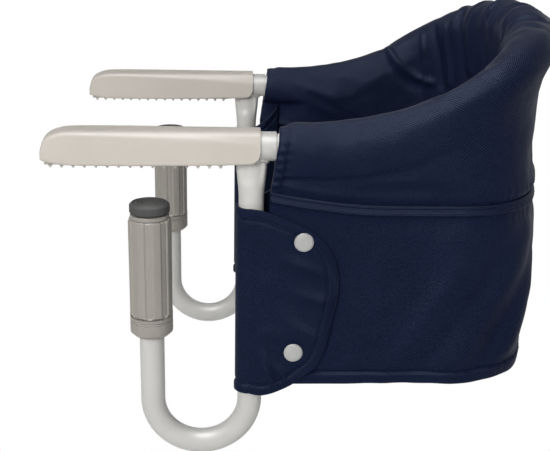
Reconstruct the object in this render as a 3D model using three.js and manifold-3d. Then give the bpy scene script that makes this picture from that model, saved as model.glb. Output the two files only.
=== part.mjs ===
// Hook-on table chair: two arms rest on a table top, and a hook under each arm clamps the top from below.
// Millimetres. +X runs from the table towards the seat back, +Y across the seat, +Z up.
// The origin is on the table's top face, at its edge, midway between the two arms.

import * as THREE from "three";
import { mergeVertices } from "three/addons/utils/BufferGeometryUtils.js";
import Module from "manifold-3d";

const wasm = await Module();
wasm.setup();

// Fits
const clearance = 0.3; // between pieces that lie against each other
const runningClearance = 0.35; // between a turning piece and what it turns on
const overrun = 2; // how far a cut runs past its piece
const sameCorner = 1e-4; // corners nearer than this are one

// Loop frame: one bent tube, from arm to arm round the back
const armSpan = 310; // between the axes of the two arm tubes
const armHeight = 17; // arm tube's axis above the table top
const armReach = 136; // arm tube's front end ahead of the table's edge
const frameTubeRadius = 11;
const frameTubeWall = 1.5;
const riseCorner = 131; // where the arm's line would meet the rising line
const riseRadius = 250;
const riseAngle = THREE.MathUtils.degToRad(32);
const backReach = 276; // loop's axis at the middle of the back
const backCornerRadius = 80;
const backCornerTurn = THREE.MathUtils.degToRad(65);

// Hooks: a leg down behind the table's edge, a U under it, and a leg rising to the clamp
const edgeGap = 3; // between the table's edge and the leg
const hookTubeRadius = 11;
const hookTubeWall = 1.5;
const hookPitch = 88; // between the two legs of a hook
const hookDrop = 281; // from the arm's axis down to the U's lowest centre
const risingLegDrop = 117; // from the arm's axis down to the rising leg's top
const legCrownHalfWidth = 13.4; // formed flat where it meets the barrel, along the arm
const legCrownHalfDepth = 8.4; // and across the arm
const legFormLength = 34; // length over which the formed top becomes round
const legFormShares = [0, 0.35, 0.7, 1]; // stations along that length

// Barrel: turns on the arm tube and carries the hook and the pad
const barrelRadius = 12.5;
const barrelFront = -40;
const barrelBack = 34.5;
const barrelRimFillet = 0.6;
const bushLength = 3;
const plugFlangeLength = 2.5;
const plugSpigotLength = 12;

// Arm pad: a moulded shell over the arm, with a toothed rubber strip below
const padLength = 184.5;
const padBack = 21;
const padHalfWidth = 16;
const padTop = 32.5;
const padWall = 2.5;
const padSag = 2.1; // lowest line of the side above the table
const padNoseLift = 3.6; // how much higher the lower line is at the nose
const padHeelLift = 2; // and at the heel
const padBellyOut = 0.8; // how far the sides bulge at mid-length
const heelShoulderDrop = 12.5; // from the top down to the side's upper edge, at the heel
const heelCornerRadius = 8.5;
const noseShoulderShare = 0.22; // the shoulder's drop at the nose, as a share of the heel's
const padFacetShares = { edge: 0.72, ridge: 0.3, drop: 0.2 }; // crowned top, as shares of width and shoulder
const noseLength = 30;
const padRibCount = 3;
const padRibThickness = 2.5;
const legSlotHalfWidth = 9.4;
const toothCount = 16;
const toothPitch = 9.5;
const toothHeight = 2.6;
const toothTip = 1.6;
const toothRoot = 4.4;
const stripThickness = 1.4;
const stripHalfWidth = 12;
const stripMargin = 3;

// Clamp: a fluted sleeve turns a spindle in the rising leg and lifts the foot
const clampedThickness = 33; // table top that the clamp closes on at rest
const footRadius = 17.5;
const footThickness = 10;
const footEdge = 2;
const footRingRadius = 10;
const footRingDepth = 1;
const carrierRadius = 17;
const carrierThickness = 3.6;
const gripRadius = 19;
const gripWall = 3.5;
const gripWebThickness = 4;
const gripLength = 92.7;
const fluteCount = 8;
const fluteRadius = 8;
const fluteDepth = 1;
const fluteEndGap = 4.7; // plain sleeve left below the flutes
const collarLength = 15.2;
const collarChamfer = 3.5;
const collarGrooveWidth = 1.2;
const collarGrooveDepth = 0.7;
const collarSpigotLength = 12;
const spindleRadius = 6;
const spindleLength = 101;
const spindleHeadRadius = 13;
const spindleHeadThickness = 4;
const spindlePinRadius = 5;
const nutLength = 20;
const nutFlangeThickness = 2;

// Fabric: a padded roll and wall over the loop, a seam band, and a skirt that holds the seat
const hemX = 37; // front hem of the side wall, at the arm's axis
const hemSlope = 0.14; // how far the hem leans back for each millimetre of height
const rollTopSide = 19; // padded roll above the tube's axis, at the sides
const rollTopBack = 21;
const rollInSide = 16; // and towards the seat
const rollInBack = 20;
const rollOutSide = 16.5; // and outwards
const rollOutBack = 25;
const rollSagBack = 14; // how far the roll's widest line hangs below the axis, at the back
const wallReachSide = 11; // outer face of the wall outside the loop's axis
const wallReachBack = 16;
const wallThickness = 10;
const wallFootThickness = 14; // the same at the seam, behind the flaps
const wallGrowthLength = 50; // run behind the flaps over which the wall fills out under the roll
const waistZ = -37;
const waistRise = 12; // how much higher the seam is at the front hem
const waistRiseLength = 100;
const gatherHeight = 1.6; // gathers in the roll at the back
const bandHeight = 9;
const bandThickness = 1.7;
const skirtBottom = -200;
const skirtThickness = 5;
const skirtBulgeSide = 2.2;
const skirtBulgeBack = 6;
const skirtFoldHeight = 1.4;
const skirtFoldLength = 74;

// Flaps: each wraps a leg from inside and closes on the skirt with two snaps
const flapThickness = 2.4;
const flapReach = 77; // from the leg's axis back to the flap's rounded end
const flapTop = -33;
const flapHeight = 178;
const flapRootX = 50; // where the inner leaf meets the side wall
const flapRootTop = -6;
const flapTurnX = 34;
const flapTurnRadius = 10;
const snapRadius = 8.5;
const snapThickness = 3.2;
const studRadius = 6;
const studThickness = 1.8;
const upperSnap = new THREE.Vector2(59.6, -64.5);
const lowerSnap = new THREE.Vector2(52.5, -168.5);

// Seat pan and cushion
const seatFront = 54;
const floorThickness = 4;
const boardThickness = 5;
const boardInset = 6;
const boardCornerRadius = 18;
const cushionThickness = 22;
const cushionCrown = 5;
const cushionInset = 5;
const cushionTopShares = [0.3, 0.6]; // rings of the crowned top, as shares of the way to its middle
const seatSideRun = 20; // straight side kept behind a seat piece's front

// Harness
const webWidth = 25;
const webThickness = 1.6;
const buckleLength = 44;
const buckleWidth = 38;
const buckleThickness = 12;
const buckleCorner = 8;
const buckleX = 128; // middle of the buckle
const buttonRadius = 9;
const buttonThickness = 5;
const buttonProud = 1.2;
const tongueLength = 20;
const tongueWidth = 22;
const tongueThickness = 3;
const tongueCorner = 3;
const tongueMargin = 4; // plate left round the strap slot
const waistStrapRootX = 205;

// Faceting
const tubeSides = 14;
const fabricSteps = { rise: 4, corner: 8, crown: 8 }; // stations in each bend of the loop
const turnedSides = 20;

// Places that several pieces share
const armY = armSpan / 2;
const legX = edgeGap + hookTubeRadius;
const risingX = legX - hookPitch;
const hookBendRadius = hookPitch / 2;
const hookLowZ = armHeight - hookDrop;
const risingTopZ = armHeight - risingLegDrop;
const barrelBore = frameTubeRadius + runningClearance;
const footTopZ = -clampedThickness;
const carrierTopZ = footTopZ - footThickness - clearance;
const gripTopZ = carrierTopZ - carrierThickness - clearance;
const gripBottomZ = gripTopZ - gripLength;
const gripBore = gripRadius - gripWall;
const skirtFaceY = armY + wallReachSide;
const floorZ = skirtBottom + overrun;
const boardZ = floorZ + floorThickness + clearance;
const cushionZ = boardZ + boardThickness + clearance;

// Materials
const paint = { color: 0xc9c6be, roughness: 0.45, metalness: 0 };
const steel = { color: 0xb4b4b0, roughness: 0.35, metalness: 1 };
const padPlastic = { color: 0xcac2b8, roughness: 0.6, metalness: 0 };
const gripPlastic = { color: 0xb9b4aa, roughness: 0.55, metalness: 0 };
const rubber = { color: 0x4a4844, roughness: 0.85, metalness: 0 };
const fabric = { color: 0x222b44, roughness: 0.9, metalness: 0 };
const trim = { color: 0x1b2338, roughness: 0.9, metalness: 0 };
const snapPlastic = { color: 0xcfcfcd, roughness: 0.6, metalness: 0 };
const blackPlastic = { color: 0x1d1e20, roughness: 0.6, metalness: 0 };
const boardPlastic = { color: 0x3a3c40, roughness: 0.7, metalness: 0 };

const chair = new THREE.Group();
const arms = { near: -1, far: 1 }; // which way each arm lies from the middle

// Adds a named piece to a group.
function place(group, name, geometry, finish) {
  const mesh = new THREE.Mesh(geometry, new THREE.MeshStandardMaterial(finish));
  mesh.name = name;
  group.add(mesh);
  return mesh;
}

// Geometry from corner points and triangles, turned so that its faces point outwards.
function closedGeometry(points, triangles) {
  let volume = 0;
  for (const [a, b, c] of triangles) {
    volume += points[a].dot(points[b].clone().cross(points[c]));
  }
  const faces = volume < 0 ? triangles.map(([a, b, c]) => [a, c, b]) : triangles;
  const geometry = new THREE.BufferGeometry();
  geometry.setAttribute("position", new THREE.Float32BufferAttribute(points.flatMap((p) => p.toArray()), 3));
  geometry.setIndex(faces.flat());
  return geometry;
}

// The triangles that close a flat outline, all turned as the outline is.
function capTriangles(outline) {
  const signedArea = THREE.ShapeUtils.area(outline);
  return THREE.ShapeUtils.triangulateShape(outline, []).map(([a, b, c]) => {
    const same = THREE.ShapeUtils.area([outline[a], outline[b], outline[c]]) * signedArea > 0;
    return same ? [a, b, c] : [a, c, b];
  });
}

// A solid through sections of equal point counts. Each section has an outline and puts it in space.
// A looped solid joins its last section to its first; any other is capped at both ends.
function loft(sections, looped = false) {
  const count = sections[0].outline.length;
  const points = sections.flatMap(({ outline, put }) => outline.map((p) => put(p)));
  const triangles = [];
  const last = looped ? sections.length : sections.length - 1;
  for (let s = 0; s < last; s++) {
    const here = s * count;
    const next = ((s + 1) % sections.length) * count;
    for (let i = 0; i < count; i++) {
      const j = (i + 1) % count;
      triangles.push([here + i, next + i, next + j], [here + i, next + j, here + j]);
    }
  }
  if (!looped) {
    const end = (sections.length - 1) * count;
    for (const [a, b, c] of capTriangles(sections[0].outline)) {
      triangles.push([a, b, c]);
    }
    for (const [a, b, c] of capTriangles(sections[sections.length - 1].outline)) {
      triangles.push([end + a, end + c, end + b]);
    }
  }
  return closedGeometry(points, triangles);
}

// A closed geometry as a solid for cuts and joins.
function solidOf(geometry) {
  const bare = new THREE.BufferGeometry();
  bare.setAttribute("position", geometry.getAttribute("position"));
  if (geometry.index) bare.setIndex(geometry.index);
  const merged = mergeVertices(bare, sameCorner);
  const index = merged.index.array;
  const kept = [];
  for (let i = 0; i < index.length; i += 3) {
    const [a, b, c] = [index[i], index[i + 1], index[i + 2]];
    if (a !== b && b !== c && c !== a) kept.push(a, b, c);
  }
  const mesh = new wasm.Mesh({
    numProp: 3,
    vertProperties: merged.attributes.position.array,
    triVerts: new Uint32Array(kept),
  });
  return new wasm.Manifold(mesh);
}

// A solid as a geometry.
function geometryOf(solid) {
  const mesh = solid.getMesh();
  const geometry = new THREE.BufferGeometry();
  const xyz = new Float32Array(mesh.numVert * 3);
  for (let i = 0; i < mesh.numVert; i++) {
    const start = i * mesh.numProp;
    xyz.set(mesh.vertProperties.subarray(start, start + 3), i * 3);
  }
  geometry.setAttribute("position", new THREE.BufferAttribute(xyz, 3));
  geometry.setIndex(new THREE.BufferAttribute(mesh.triVerts, 1));
  return geometry;
}

// One geometry less others.
function cut(geometry, ...cutters) {
  return geometryOf(cutters.reduce((body, cutter) => body.subtract(solidOf(cutter)), solidOf(geometry)));
}

// A box between two corners.
function boxBetween(low, high) {
  const size = high.clone().sub(low);
  const centre = low.clone().add(high).multiplyScalar(0.5);
  return new THREE.BoxGeometry(size.x, size.y, size.z).translate(centre.x, centre.y, centre.z);
}

// Points of a circle.
function circlePoints(radius, sides) {
  return Array.from({ length: sides }, (_, i) => {
    const angle = (2 * Math.PI * i) / sides;
    return new THREE.Vector2(radius * Math.cos(angle), radius * Math.sin(angle));
  });
}

// A turned piece about Z, from [radius, height] pairs that close on the axis or on themselves.
function turned(profile, sides = turnedSides) {
  const points = profile.map(([radius, height]) => new THREE.Vector2(radius, height));
  return upright(new THREE.LatheGeometry(points, sides));
}

// Stands a lathe's axis along Z and turns its faces outwards.
function upright(geometry) {
  geometry.rotateX(Math.PI / 2);
  return outward(geometry);
}

// Turns the faces of a closed geometry outwards.
function outward(geometry) {
  const bare = new THREE.BufferGeometry();
  bare.setAttribute("position", geometry.getAttribute("position"));
  if (geometry.index) bare.setIndex(geometry.index);
  const merged = mergeVertices(bare, sameCorner);
  const position = merged.attributes.position;
  const points = Array.from({ length: position.count }, (_, i) =>
    new THREE.Vector3().fromBufferAttribute(position, i),
  );
  const triangles = [];
  for (let i = 0; i < merged.index.count; i += 3) {
    const [a, b, c] = merged.index.array.slice(i, i + 3);
    if (a !== b && b !== c && c !== a) triangles.push([a, b, c]);
  }
  return closedGeometry(points, triangles);
}

// A turned piece laid along X, its heights becoming x.
function turnedAlongX(profile, sides = turnedSides) {
  return turned(profile, sides).rotateY(Math.PI / 2);
}

// A tube's section: a ring of equal wall.
function ringShape(radius, wall) {
  const shape = new THREE.Shape(circlePoints(radius, tubeSides));
  shape.holes.push(new THREE.Path(circlePoints(radius - wall, tubeSides).reverse()));
  return shape;
}

function directionTo(from, to) {
  return to.clone().sub(from).normalize();
}

// Stations along straight runs joined by bends, each with its point and its tangent.
function bentPath(corners, radii, stepsPerBend) {
  const last = corners.length - 1;
  const stations = [{ point: corners[0], tangent: directionTo(corners[0], corners[1]) }];
  for (let i = 1; i < last; i++) {
    const before = directionTo(corners[i - 1], corners[i]);
    const after = directionTo(corners[i], corners[i + 1]);
    const turn = before.angleTo(after);
    const radius = radii[i - 1];
    const start = corners[i].clone().addScaledVector(before, -radius * Math.tan(turn / 2));
    const axis = before.clone().cross(after).normalize();
    const inward = axis.clone().cross(before);
    const centre = start.clone().addScaledVector(inward, radius);
    const steps = stepsPerBend[i - 1];
    for (let k = 0; k <= steps; k++) {
      const angle = (turn * k) / steps;
      const spoke = inward.clone().negate().applyAxisAngle(axis, angle);
      const point = centre.clone().addScaledVector(spoke, radius);
      const tangent = before.clone().applyAxisAngle(axis, angle);
      const gap = point.distanceTo(stations[stations.length - 1].point);
      if (gap > clearance) stations.push({ point, tangent });
    }
  }
  stations.push({ point: corners[last], tangent: directionTo(corners[last - 1], corners[last]) });
  return stations;
}

// A curve whose equal steps fall on the stations of a path.
class StationCurve extends THREE.Curve {
  constructor(stations) {
    super();
    this.stations = stations;
  }
  between(t, key) {
    const place = t * (this.stations.length - 1);
    const index = Math.min(Math.floor(place), this.stations.length - 2);
    return this.stations[index][key].clone().lerp(this.stations[index + 1][key], place - index);
  }
  getPoint(t) {
    return this.between(t, "point");
  }
  getPointAt(t) {
    return this.between(t, "point");
  }
  getTangentAt(t) {
    return this.between(t, "tangent").normalize();
  }
}

// A section swept along the stations of a path.
function sweep(shape, stations) {
  return outward(
    new THREE.ExtrudeGeometry(shape, {
      steps: stations.length - 1,
      extrudePath: new StationCurve(stations),
      bevelEnabled: false,
    }),
  );
}

// The loop's axis from a front place on the near arm, round the back, to the same place on the far arm.
// The back is an arch of three arcs: two corners and one crown between them.
function loopStations(front, steps) {
  const sideRun = armY / Math.sin(backCornerTurn);
  const crownTurn = Math.PI - 2 * backCornerTurn;
  const cornerReach = backCornerRadius * Math.tan(backCornerTurn / 2);
  const crownRadius = (sideRun - cornerReach) / Math.tan(crownTurn / 2);
  const crownCut = crownRadius * (1 / Math.cos(crownTurn / 2) - 1);
  const slopeRun = (backReach - riseCorner) / Math.cos(riseAngle);
  const cornerRun = slopeRun - sideRun * Math.cos(backCornerTurn) + crownCut;
  const onSlope = (run, y) =>
    new THREE.Vector3(riseCorner + run * Math.cos(riseAngle), y, armHeight + run * Math.sin(riseAngle));
  const corners = [
    new THREE.Vector3(front, -armY, armHeight),
    new THREE.Vector3(riseCorner, -armY, armHeight),
    onSlope(cornerRun, -armY),
    onSlope(slopeRun + crownCut, 0),
    onSlope(cornerRun, armY),
    new THREE.Vector3(riseCorner, armY, armHeight),
    new THREE.Vector3(front, armY, armHeight),
  ];
  const radii = [riseRadius, backCornerRadius, crownRadius, backCornerRadius, riseRadius];
  return bentPath(corners, radii, [steps.rise, steps.corner, steps.crown, steps.corner, steps.rise]);
}

// Bent tube of the arms and the back.
function loopFrame() {
  const stations = loopStations(-armReach, { rise: 4, corner: 6, crown: 4 });
  return sweep(ringShape(frameTubeRadius, frameTubeWall), stations);
}

// The channel that the tube takes through the padded roll.
function rollChannel() {
  const stations = loopStations(hemX - 2 * rollTopSide, { rise: 4, corner: 6, crown: 4 });
  return sweep(new THREE.Shape(circlePoints(barrelBore, tubeSides)), stations);
}

// Pieces of one arm, in the arm's own plane, y = 0.

// Steel barrel round the arm tube, with a rounded rear rim.
function pivotBarrel() {
  return turnedAlongX([
    [barrelBore, barrelFront],
    [barrelRadius, barrelFront],
    [barrelRadius, barrelBack - barrelRimFillet],
    [barrelRadius - barrelRimFillet, barrelBack],
    [barrelBore, barrelBack],
    [barrelBore, barrelFront],
  ]).translate(0, 0, armHeight);
}

// Thrust ring ahead of the barrel.
function pivotBush() {
  const back = barrelFront - clearance;
  return turnedAlongX([
    [barrelBore, back - bushLength],
    [barrelRadius, back - bushLength],
    [barrelRadius, back],
    [barrelBore, back],
    [barrelBore, back - bushLength],
  ]).translate(0, 0, armHeight);
}

// Plug in the arm tube's front end: its flange keeps the arm on the tube.
function endPlug() {
  const front = -armReach - clearance - plugFlangeLength;
  const spigot = frameTubeRadius - frameTubeWall - clearance - runningClearance;
  return turnedAlongX([
    [0, front],
    [barrelRadius, front],
    [barrelRadius, front + plugFlangeLength],
    [spigot, front + plugFlangeLength],
    [spigot, front + plugFlangeLength + plugSpigotLength],
    [0, front + plugFlangeLength + plugSpigotLength],
  ]).translate(0, 0, armHeight);
}

// Hook tube: formed flat at the barrel, round below, a U, and the rising leg.
function hookTube() {
  const top = new THREE.Vector3(legX, 0, armHeight);
  const low = hookLowZ;
  const corners = [
    top,
    new THREE.Vector3(legX, 0, low),
    new THREE.Vector3(risingX, 0, low),
    new THREE.Vector3(risingX, 0, risingTopZ),
  ];
  const steps = 5;
  const path = bentPath(corners, [hookBendRadius, hookBendRadius], [steps, steps]);
  const formStart = armHeight - barrelRadius;
  const formed = legFormShares.map((share) => ({
    point: new THREE.Vector3(legX, 0, formStart - share * legFormLength),
    tangent: path[0].tangent,
    share: share * share * (3 - 2 * share),
  }));
  const stations = [{ ...path[0], share: 0 }, ...formed, ...path.slice(1).map((s) => ({ ...s, share: 1 }))];
  const sections = (inset) =>
    stations.map(({ point, tangent, share }) => {
      const half = THREE.MathUtils.lerp(legCrownHalfWidth, hookTubeRadius, share) - inset;
      const depth = THREE.MathUtils.lerp(legCrownHalfDepth, hookTubeRadius, share) - inset;
      const across = new THREE.Vector3(0, 1, 0);
      const along = across.clone().cross(tangent).normalize();
      return {
        outline: circlePoints(1, tubeSides),
        put: (p) => point.clone().addScaledVector(along, half * p.x).addScaledVector(across, depth * p.y),
      };
    });
  const walls = loft([...sections(0), ...sections(hookTubeWall).reverse()], true);
  const saddle = turnedAlongX([
    [0, legX - hookPitch],
    [barrelRadius + clearance, legX - hookPitch],
    [barrelRadius + clearance, legX + hookPitch],
    [0, legX + hookPitch],
  ]).translate(0, 0, armHeight);
  return cut(walls, saddle);
}

// Shares of the pad's length from nose to heel, with the share of the full height and width there.
const padHeightShares = [
  [0, 0.2, 0.72],
  [0.012, 0.42, 0.78],
  [0.035, 0.72, 0.86],
  [0.09, 0.94, 0.94],
  [0.17, 1, 0.98],
  [0.4, 1, 1],
  [0.7, 1, 1],
  [1, 1, 0.97],
];

// One section of the pad: straight sides, a shoulder, and a gently crowned top.
function padSection([run, height, width]) {
  const x = padBack - padLength + run * padLength;
  const nose = Math.max(0, 1 - (run * padLength) / noseLength);
  const low = padSag + padNoseLift * nose * nose + padHeelLift * run * run * run;
  const top = low + (padTop - low) * height;
  const belly = padBellyOut * Math.sin(Math.PI * run);
  const half = (padHalfWidth - padBellyOut + belly) * width;
  const fullShoulder = heelShoulderDrop * THREE.MathUtils.lerp(noseShoulderShare, 1, run * run);
  const shoulder = Math.min(fullShoulder, (top - low) / 2);
  const facet = padFacetShares;
  const outline = [
    [-half + padWall / 2, low],
    [-half, low + padWall / 2],
    [-half, top - shoulder],
    [-half * facet.edge, top - shoulder * facet.drop],
    [-half * facet.ridge, top],
    [half * facet.ridge, top],
    [half * facet.edge, top - shoulder * facet.drop],
    [half, top - shoulder],
    [half, low + padWall / 2],
    [half - padWall / 2, low],
  ].map(([y, z]) => new THREE.Vector2(y, z));
  return { outline, put: (p) => new THREE.Vector3(x, p.x, p.y) };
}

// Moulded arm pad: a shell open below, with ribs that ride on the arm tube.
function armPad() {
  const shell = loft(padHeightShares.map(padSection));
  const front = padBack - padLength;
  const pocketsFront = -armReach - plugFlangeLength - clearance - padWall;
  const pocketsBack = padBack - padWall;
  const pitch = (pocketsBack - pocketsFront + padRibThickness) / (padRibCount + 1);
  const pocketHalf = padHalfWidth - padBellyOut - padWall;
  const pocketTop = padTop - padWall - clearance;
  // Each pocket is stepped, so that the wall stays whole under the sloping shoulders.
  const steps = [
    [pocketHalf, pocketTop - heelShoulderDrop],
    [padHalfWidth / 2, pocketTop - padWall],
  ];
  const pockets = Array.from({ length: padRibCount + 1 }, (_, i) => {
    const start = pocketsFront + i * pitch;
    const end = start + pitch - padRibThickness;
    return steps.map(([half, top]) =>
      boxBetween(new THREE.Vector3(start, -half, -overrun), new THREE.Vector3(end, half, top)),
    );
  }).flat();
  const tubeBore = turnedAlongX([
    [0, pocketsFront],
    [barrelBore, pocketsFront],
    [barrelBore, padBack + overrun],
    [0, padBack + overrun],
  ]).translate(0, 0, armHeight);
  const plugSeat = turnedAlongX([
    [0, pocketsFront],
    [barrelRadius + clearance, pocketsFront],
    [barrelRadius + clearance, clearance - armReach],
    [0, clearance - armReach],
  ]).translate(0, 0, armHeight);
  const barrelSeat = turnedAlongX([
    [0, barrelFront - bushLength - 2 * clearance],
    [barrelRadius + clearance, barrelFront - bushLength - 2 * clearance],
    [barrelRadius + clearance, padBack + overrun],
    [0, padBack + overrun],
  ]).translate(0, 0, armHeight);
  const stripBay = boxBetween(
    new THREE.Vector3(front + stripMargin, -stripHalfWidth - clearance, -overrun),
    new THREE.Vector3(
      padBack + overrun,
      stripHalfWidth + clearance,
      toothHeight + stripThickness + clearance,
    ),
  );
  const legSlot = boxBetween(
    new THREE.Vector3(legX - legCrownHalfWidth - overrun, -legSlotHalfWidth, -overrun),
    new THREE.Vector3(padBack + overrun, legSlotHalfWidth, armHeight),
  );
  return cut(shell, ...pockets, tubeBore, plugSeat, barrelSeat, stripBay, legSlot, heelCorner());
}

// What rounds the pad's lower rear corner.
function heelCorner() {
  const low = padSag + padHeelLift;
  const shape = new THREE.Shape();
  shape.moveTo(padBack + overrun, low - 2 * overrun);
  shape.lineTo(padBack + overrun, low + heelCornerRadius);
  shape.lineTo(padBack, low + heelCornerRadius);
  shape.absarc(padBack - heelCornerRadius, low + heelCornerRadius, heelCornerRadius, 0, -Math.PI / 2, true);
  shape.lineTo(padBack - heelCornerRadius, low - 2 * overrun);
  const depth = 2 * (padHalfWidth + overrun);
  const geometry = new THREE.ExtrudeGeometry(shape, { depth, bevelEnabled: false, curveSegments: 4 });
  return outward(geometry.rotateX(Math.PI / 2).translate(0, depth / 2, 0));
}

// Rubber strip whose teeth bite on the table top.
function tableGrip() {
  const front = padBack - padLength + stripMargin + clearance;
  const length = (toothCount - 1) * toothPitch + toothRoot + 2 * stripMargin;
  const shape = new THREE.Shape();
  shape.moveTo(front, toothHeight + stripThickness);
  shape.lineTo(front, toothHeight);
  for (let i = 0; i < toothCount; i++) {
    const middle = front + stripMargin + toothRoot / 2 + i * toothPitch;
    shape.lineTo(middle - toothRoot / 2, toothHeight);
    shape.lineTo(middle - toothTip / 2, 0);
    shape.lineTo(middle + toothTip / 2, 0);
    shape.lineTo(middle + toothRoot / 2, toothHeight);
  }
  shape.lineTo(front + length, toothHeight);
  shape.lineTo(front + length, toothHeight + stripThickness);
  const depth = 2 * stripHalfWidth;
  const geometry = new THREE.ExtrudeGeometry(shape, { depth, bevelEnabled: false });
  return outward(geometry.rotateX(Math.PI / 2).translate(0, depth / 2, 0));
}

// Threaded insert in the top of the rising leg.
function tubeNut() {
  const bore = spindleRadius + runningClearance;
  const body = hookTubeRadius - hookTubeWall - clearance - runningClearance;
  const flangeZ = risingTopZ + clearance;
  return turned([
    [bore, flangeZ - nutLength],
    [body, flangeZ - nutLength],
    [body, flangeZ],
    [hookTubeRadius, flangeZ],
    [hookTubeRadius, flangeZ + nutFlangeThickness],
    [bore, flangeZ + nutFlangeThickness],
    [bore, flangeZ - nutLength],
  ]).translate(risingX, 0, 0);
}

// Spindle: its head hangs under the sleeve's web, and its pin carries the foot.
function clampSpindle() {
  const headTop = gripTopZ - gripWebThickness - clearance;
  const headBottom = headTop - spindleHeadThickness;
  return turned([
    [0, headBottom - spindleLength],
    [spindleRadius, headBottom - spindleLength],
    [spindleRadius, headBottom],
    [spindleHeadRadius, headBottom],
    [spindleHeadRadius, headTop],
    [spindlePinRadius, headTop],
    [spindlePinRadius, carrierTopZ],
    [0, carrierTopZ],
  ]).translate(risingX, 0, 0);
}

// Twist sleeve with long flutes, closed above by a web round the spindle's pin.
function twistGrip() {
  const pinHole = spindlePinRadius + runningClearance;
  const sleeve = turned(
    [
      [gripBore, gripBottomZ],
      [gripRadius, gripBottomZ],
      [gripRadius, gripTopZ],
      [pinHole, gripTopZ],
      [pinHole, gripTopZ - gripWebThickness],
      [gripBore, gripTopZ - gripWebThickness],
      [gripBore, gripBottomZ],
    ],
    2 * turnedSides,
  );
  const fluteBottom = gripBottomZ + fluteEndGap;
  const run = gripTopZ - fluteBottom;
  const flutes = Array.from({ length: fluteCount }, (_, i) => {
    const flute = outward(new THREE.CapsuleGeometry(fluteRadius, run, 3, 12));
    flute.rotateX(Math.PI / 2);
    flute.translate(gripRadius + fluteRadius - fluteDepth, 0, fluteBottom + run / 2 + fluteRadius / 2);
    return flute.rotateZ((2 * Math.PI * (i + 0.5)) / fluteCount);
  });
  return cut(sleeve, ...flutes).translate(risingX, 0, 0);
}

// Guide collar under the sleeve: it slides on the rising leg and carries a groove and a chamfer.
function gripCollar() {
  const top = gripBottomZ - clearance;
  const bottom = top - collarLength;
  const bore = hookTubeRadius + runningClearance;
  const spigot = gripBore - clearance;
  return turned([
    [bore, bottom],
    [gripRadius - collarChamfer, bottom],
    [gripRadius, bottom + collarChamfer],
    [gripRadius, top - 2 * collarGrooveWidth],
    [gripRadius - collarGrooveDepth, top - 2 * collarGrooveWidth],
    [gripRadius - collarGrooveDepth, top - collarGrooveWidth],
    [gripRadius, top - collarGrooveWidth],
    [gripRadius, top],
    [spigot, top],
    [spigot, top + collarSpigotLength],
    [bore, top + collarSpigotLength],
    [bore, bottom],
  ]).translate(risingX, 0, 0);
}

// Disc that carries the rubber foot on the spindle's pin.
function footCarrier() {
  const bore = spindlePinRadius + runningClearance;
  return turned([
    [bore, carrierTopZ - carrierThickness],
    [carrierRadius, carrierTopZ - carrierThickness],
    [carrierRadius, carrierTopZ],
    [bore, carrierTopZ],
    [bore, carrierTopZ - carrierThickness],
  ]).translate(risingX, 0, 0);
}

// Rubber foot that presses on the table's underside, with a ring groove in its flat face.
function clampFoot() {
  const bottom = footTopZ - footThickness;
  return turned([
    [0, bottom],
    [footRadius - footEdge, bottom],
    [footRadius, bottom + footEdge],
    [footRadius, footTopZ - footEdge],
    [footRadius - footEdge, footTopZ],
    [footRingRadius + footRingDepth, footTopZ],
    [footRingRadius, footTopZ - footRingDepth],
    [footRingRadius - footRingDepth, footTopZ],
    [0, footTopZ],
  ]).translate(risingX, 0, 0);
}

// Fabric round the loop. Each station gives a place, the outward direction and how far round the back it is.
function fabricStations(front, steps) {
  return loopStations(front, steps).map(({ point, tangent }) => {
    const plan = new THREE.Vector2(tangent.x, tangent.y).normalize();
    return { point, outward: new THREE.Vector3(plan.y, -plan.x, 0), back: plan.y * plan.y };
  });
}

// Height of the seam between the wall and the skirt at a distance behind the front hem.
function waistAt(x) {
  const ahead = THREE.MathUtils.clamp(1 - (x - hemX) / waistRiseLength, 0, 1);
  return waistZ + waistRise * ahead * ahead;
}

// Puts a fabric outline, given as distance outwards and height, at a station.
// The front hems lean with the wall and drop straight below the seam.
function fabricPut({ point, outward: out }, isHem) {
  const lean = (z) => (isHem ? hemSlope * (Math.max(z, waistAt(hemX)) - armHeight) : 0);
  return (p) => new THREE.Vector3(point.x + lean(p.y), point.y, p.y).addScaledVector(out, p.x);
}

// Whether a station is at one of the two front hems.
function isHemStation(index, stations) {
  return index === 0 || index === stations.length - 1;
}

// Outline of the roll as shares of its reach and height, from the seat side over the top.
const rollShares = [
  [-0.74, -0.72],
  [-1, -0.18],
  [-0.88, 0.46],
  [-0.5, 0.88],
  [0, 1],
  [0.52, 0.87],
  [0.88, 0.45],
];

const rollFallShares = { below: 0.92, under: 0.8 }; // inner reach of the filled wall, under the roll

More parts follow.
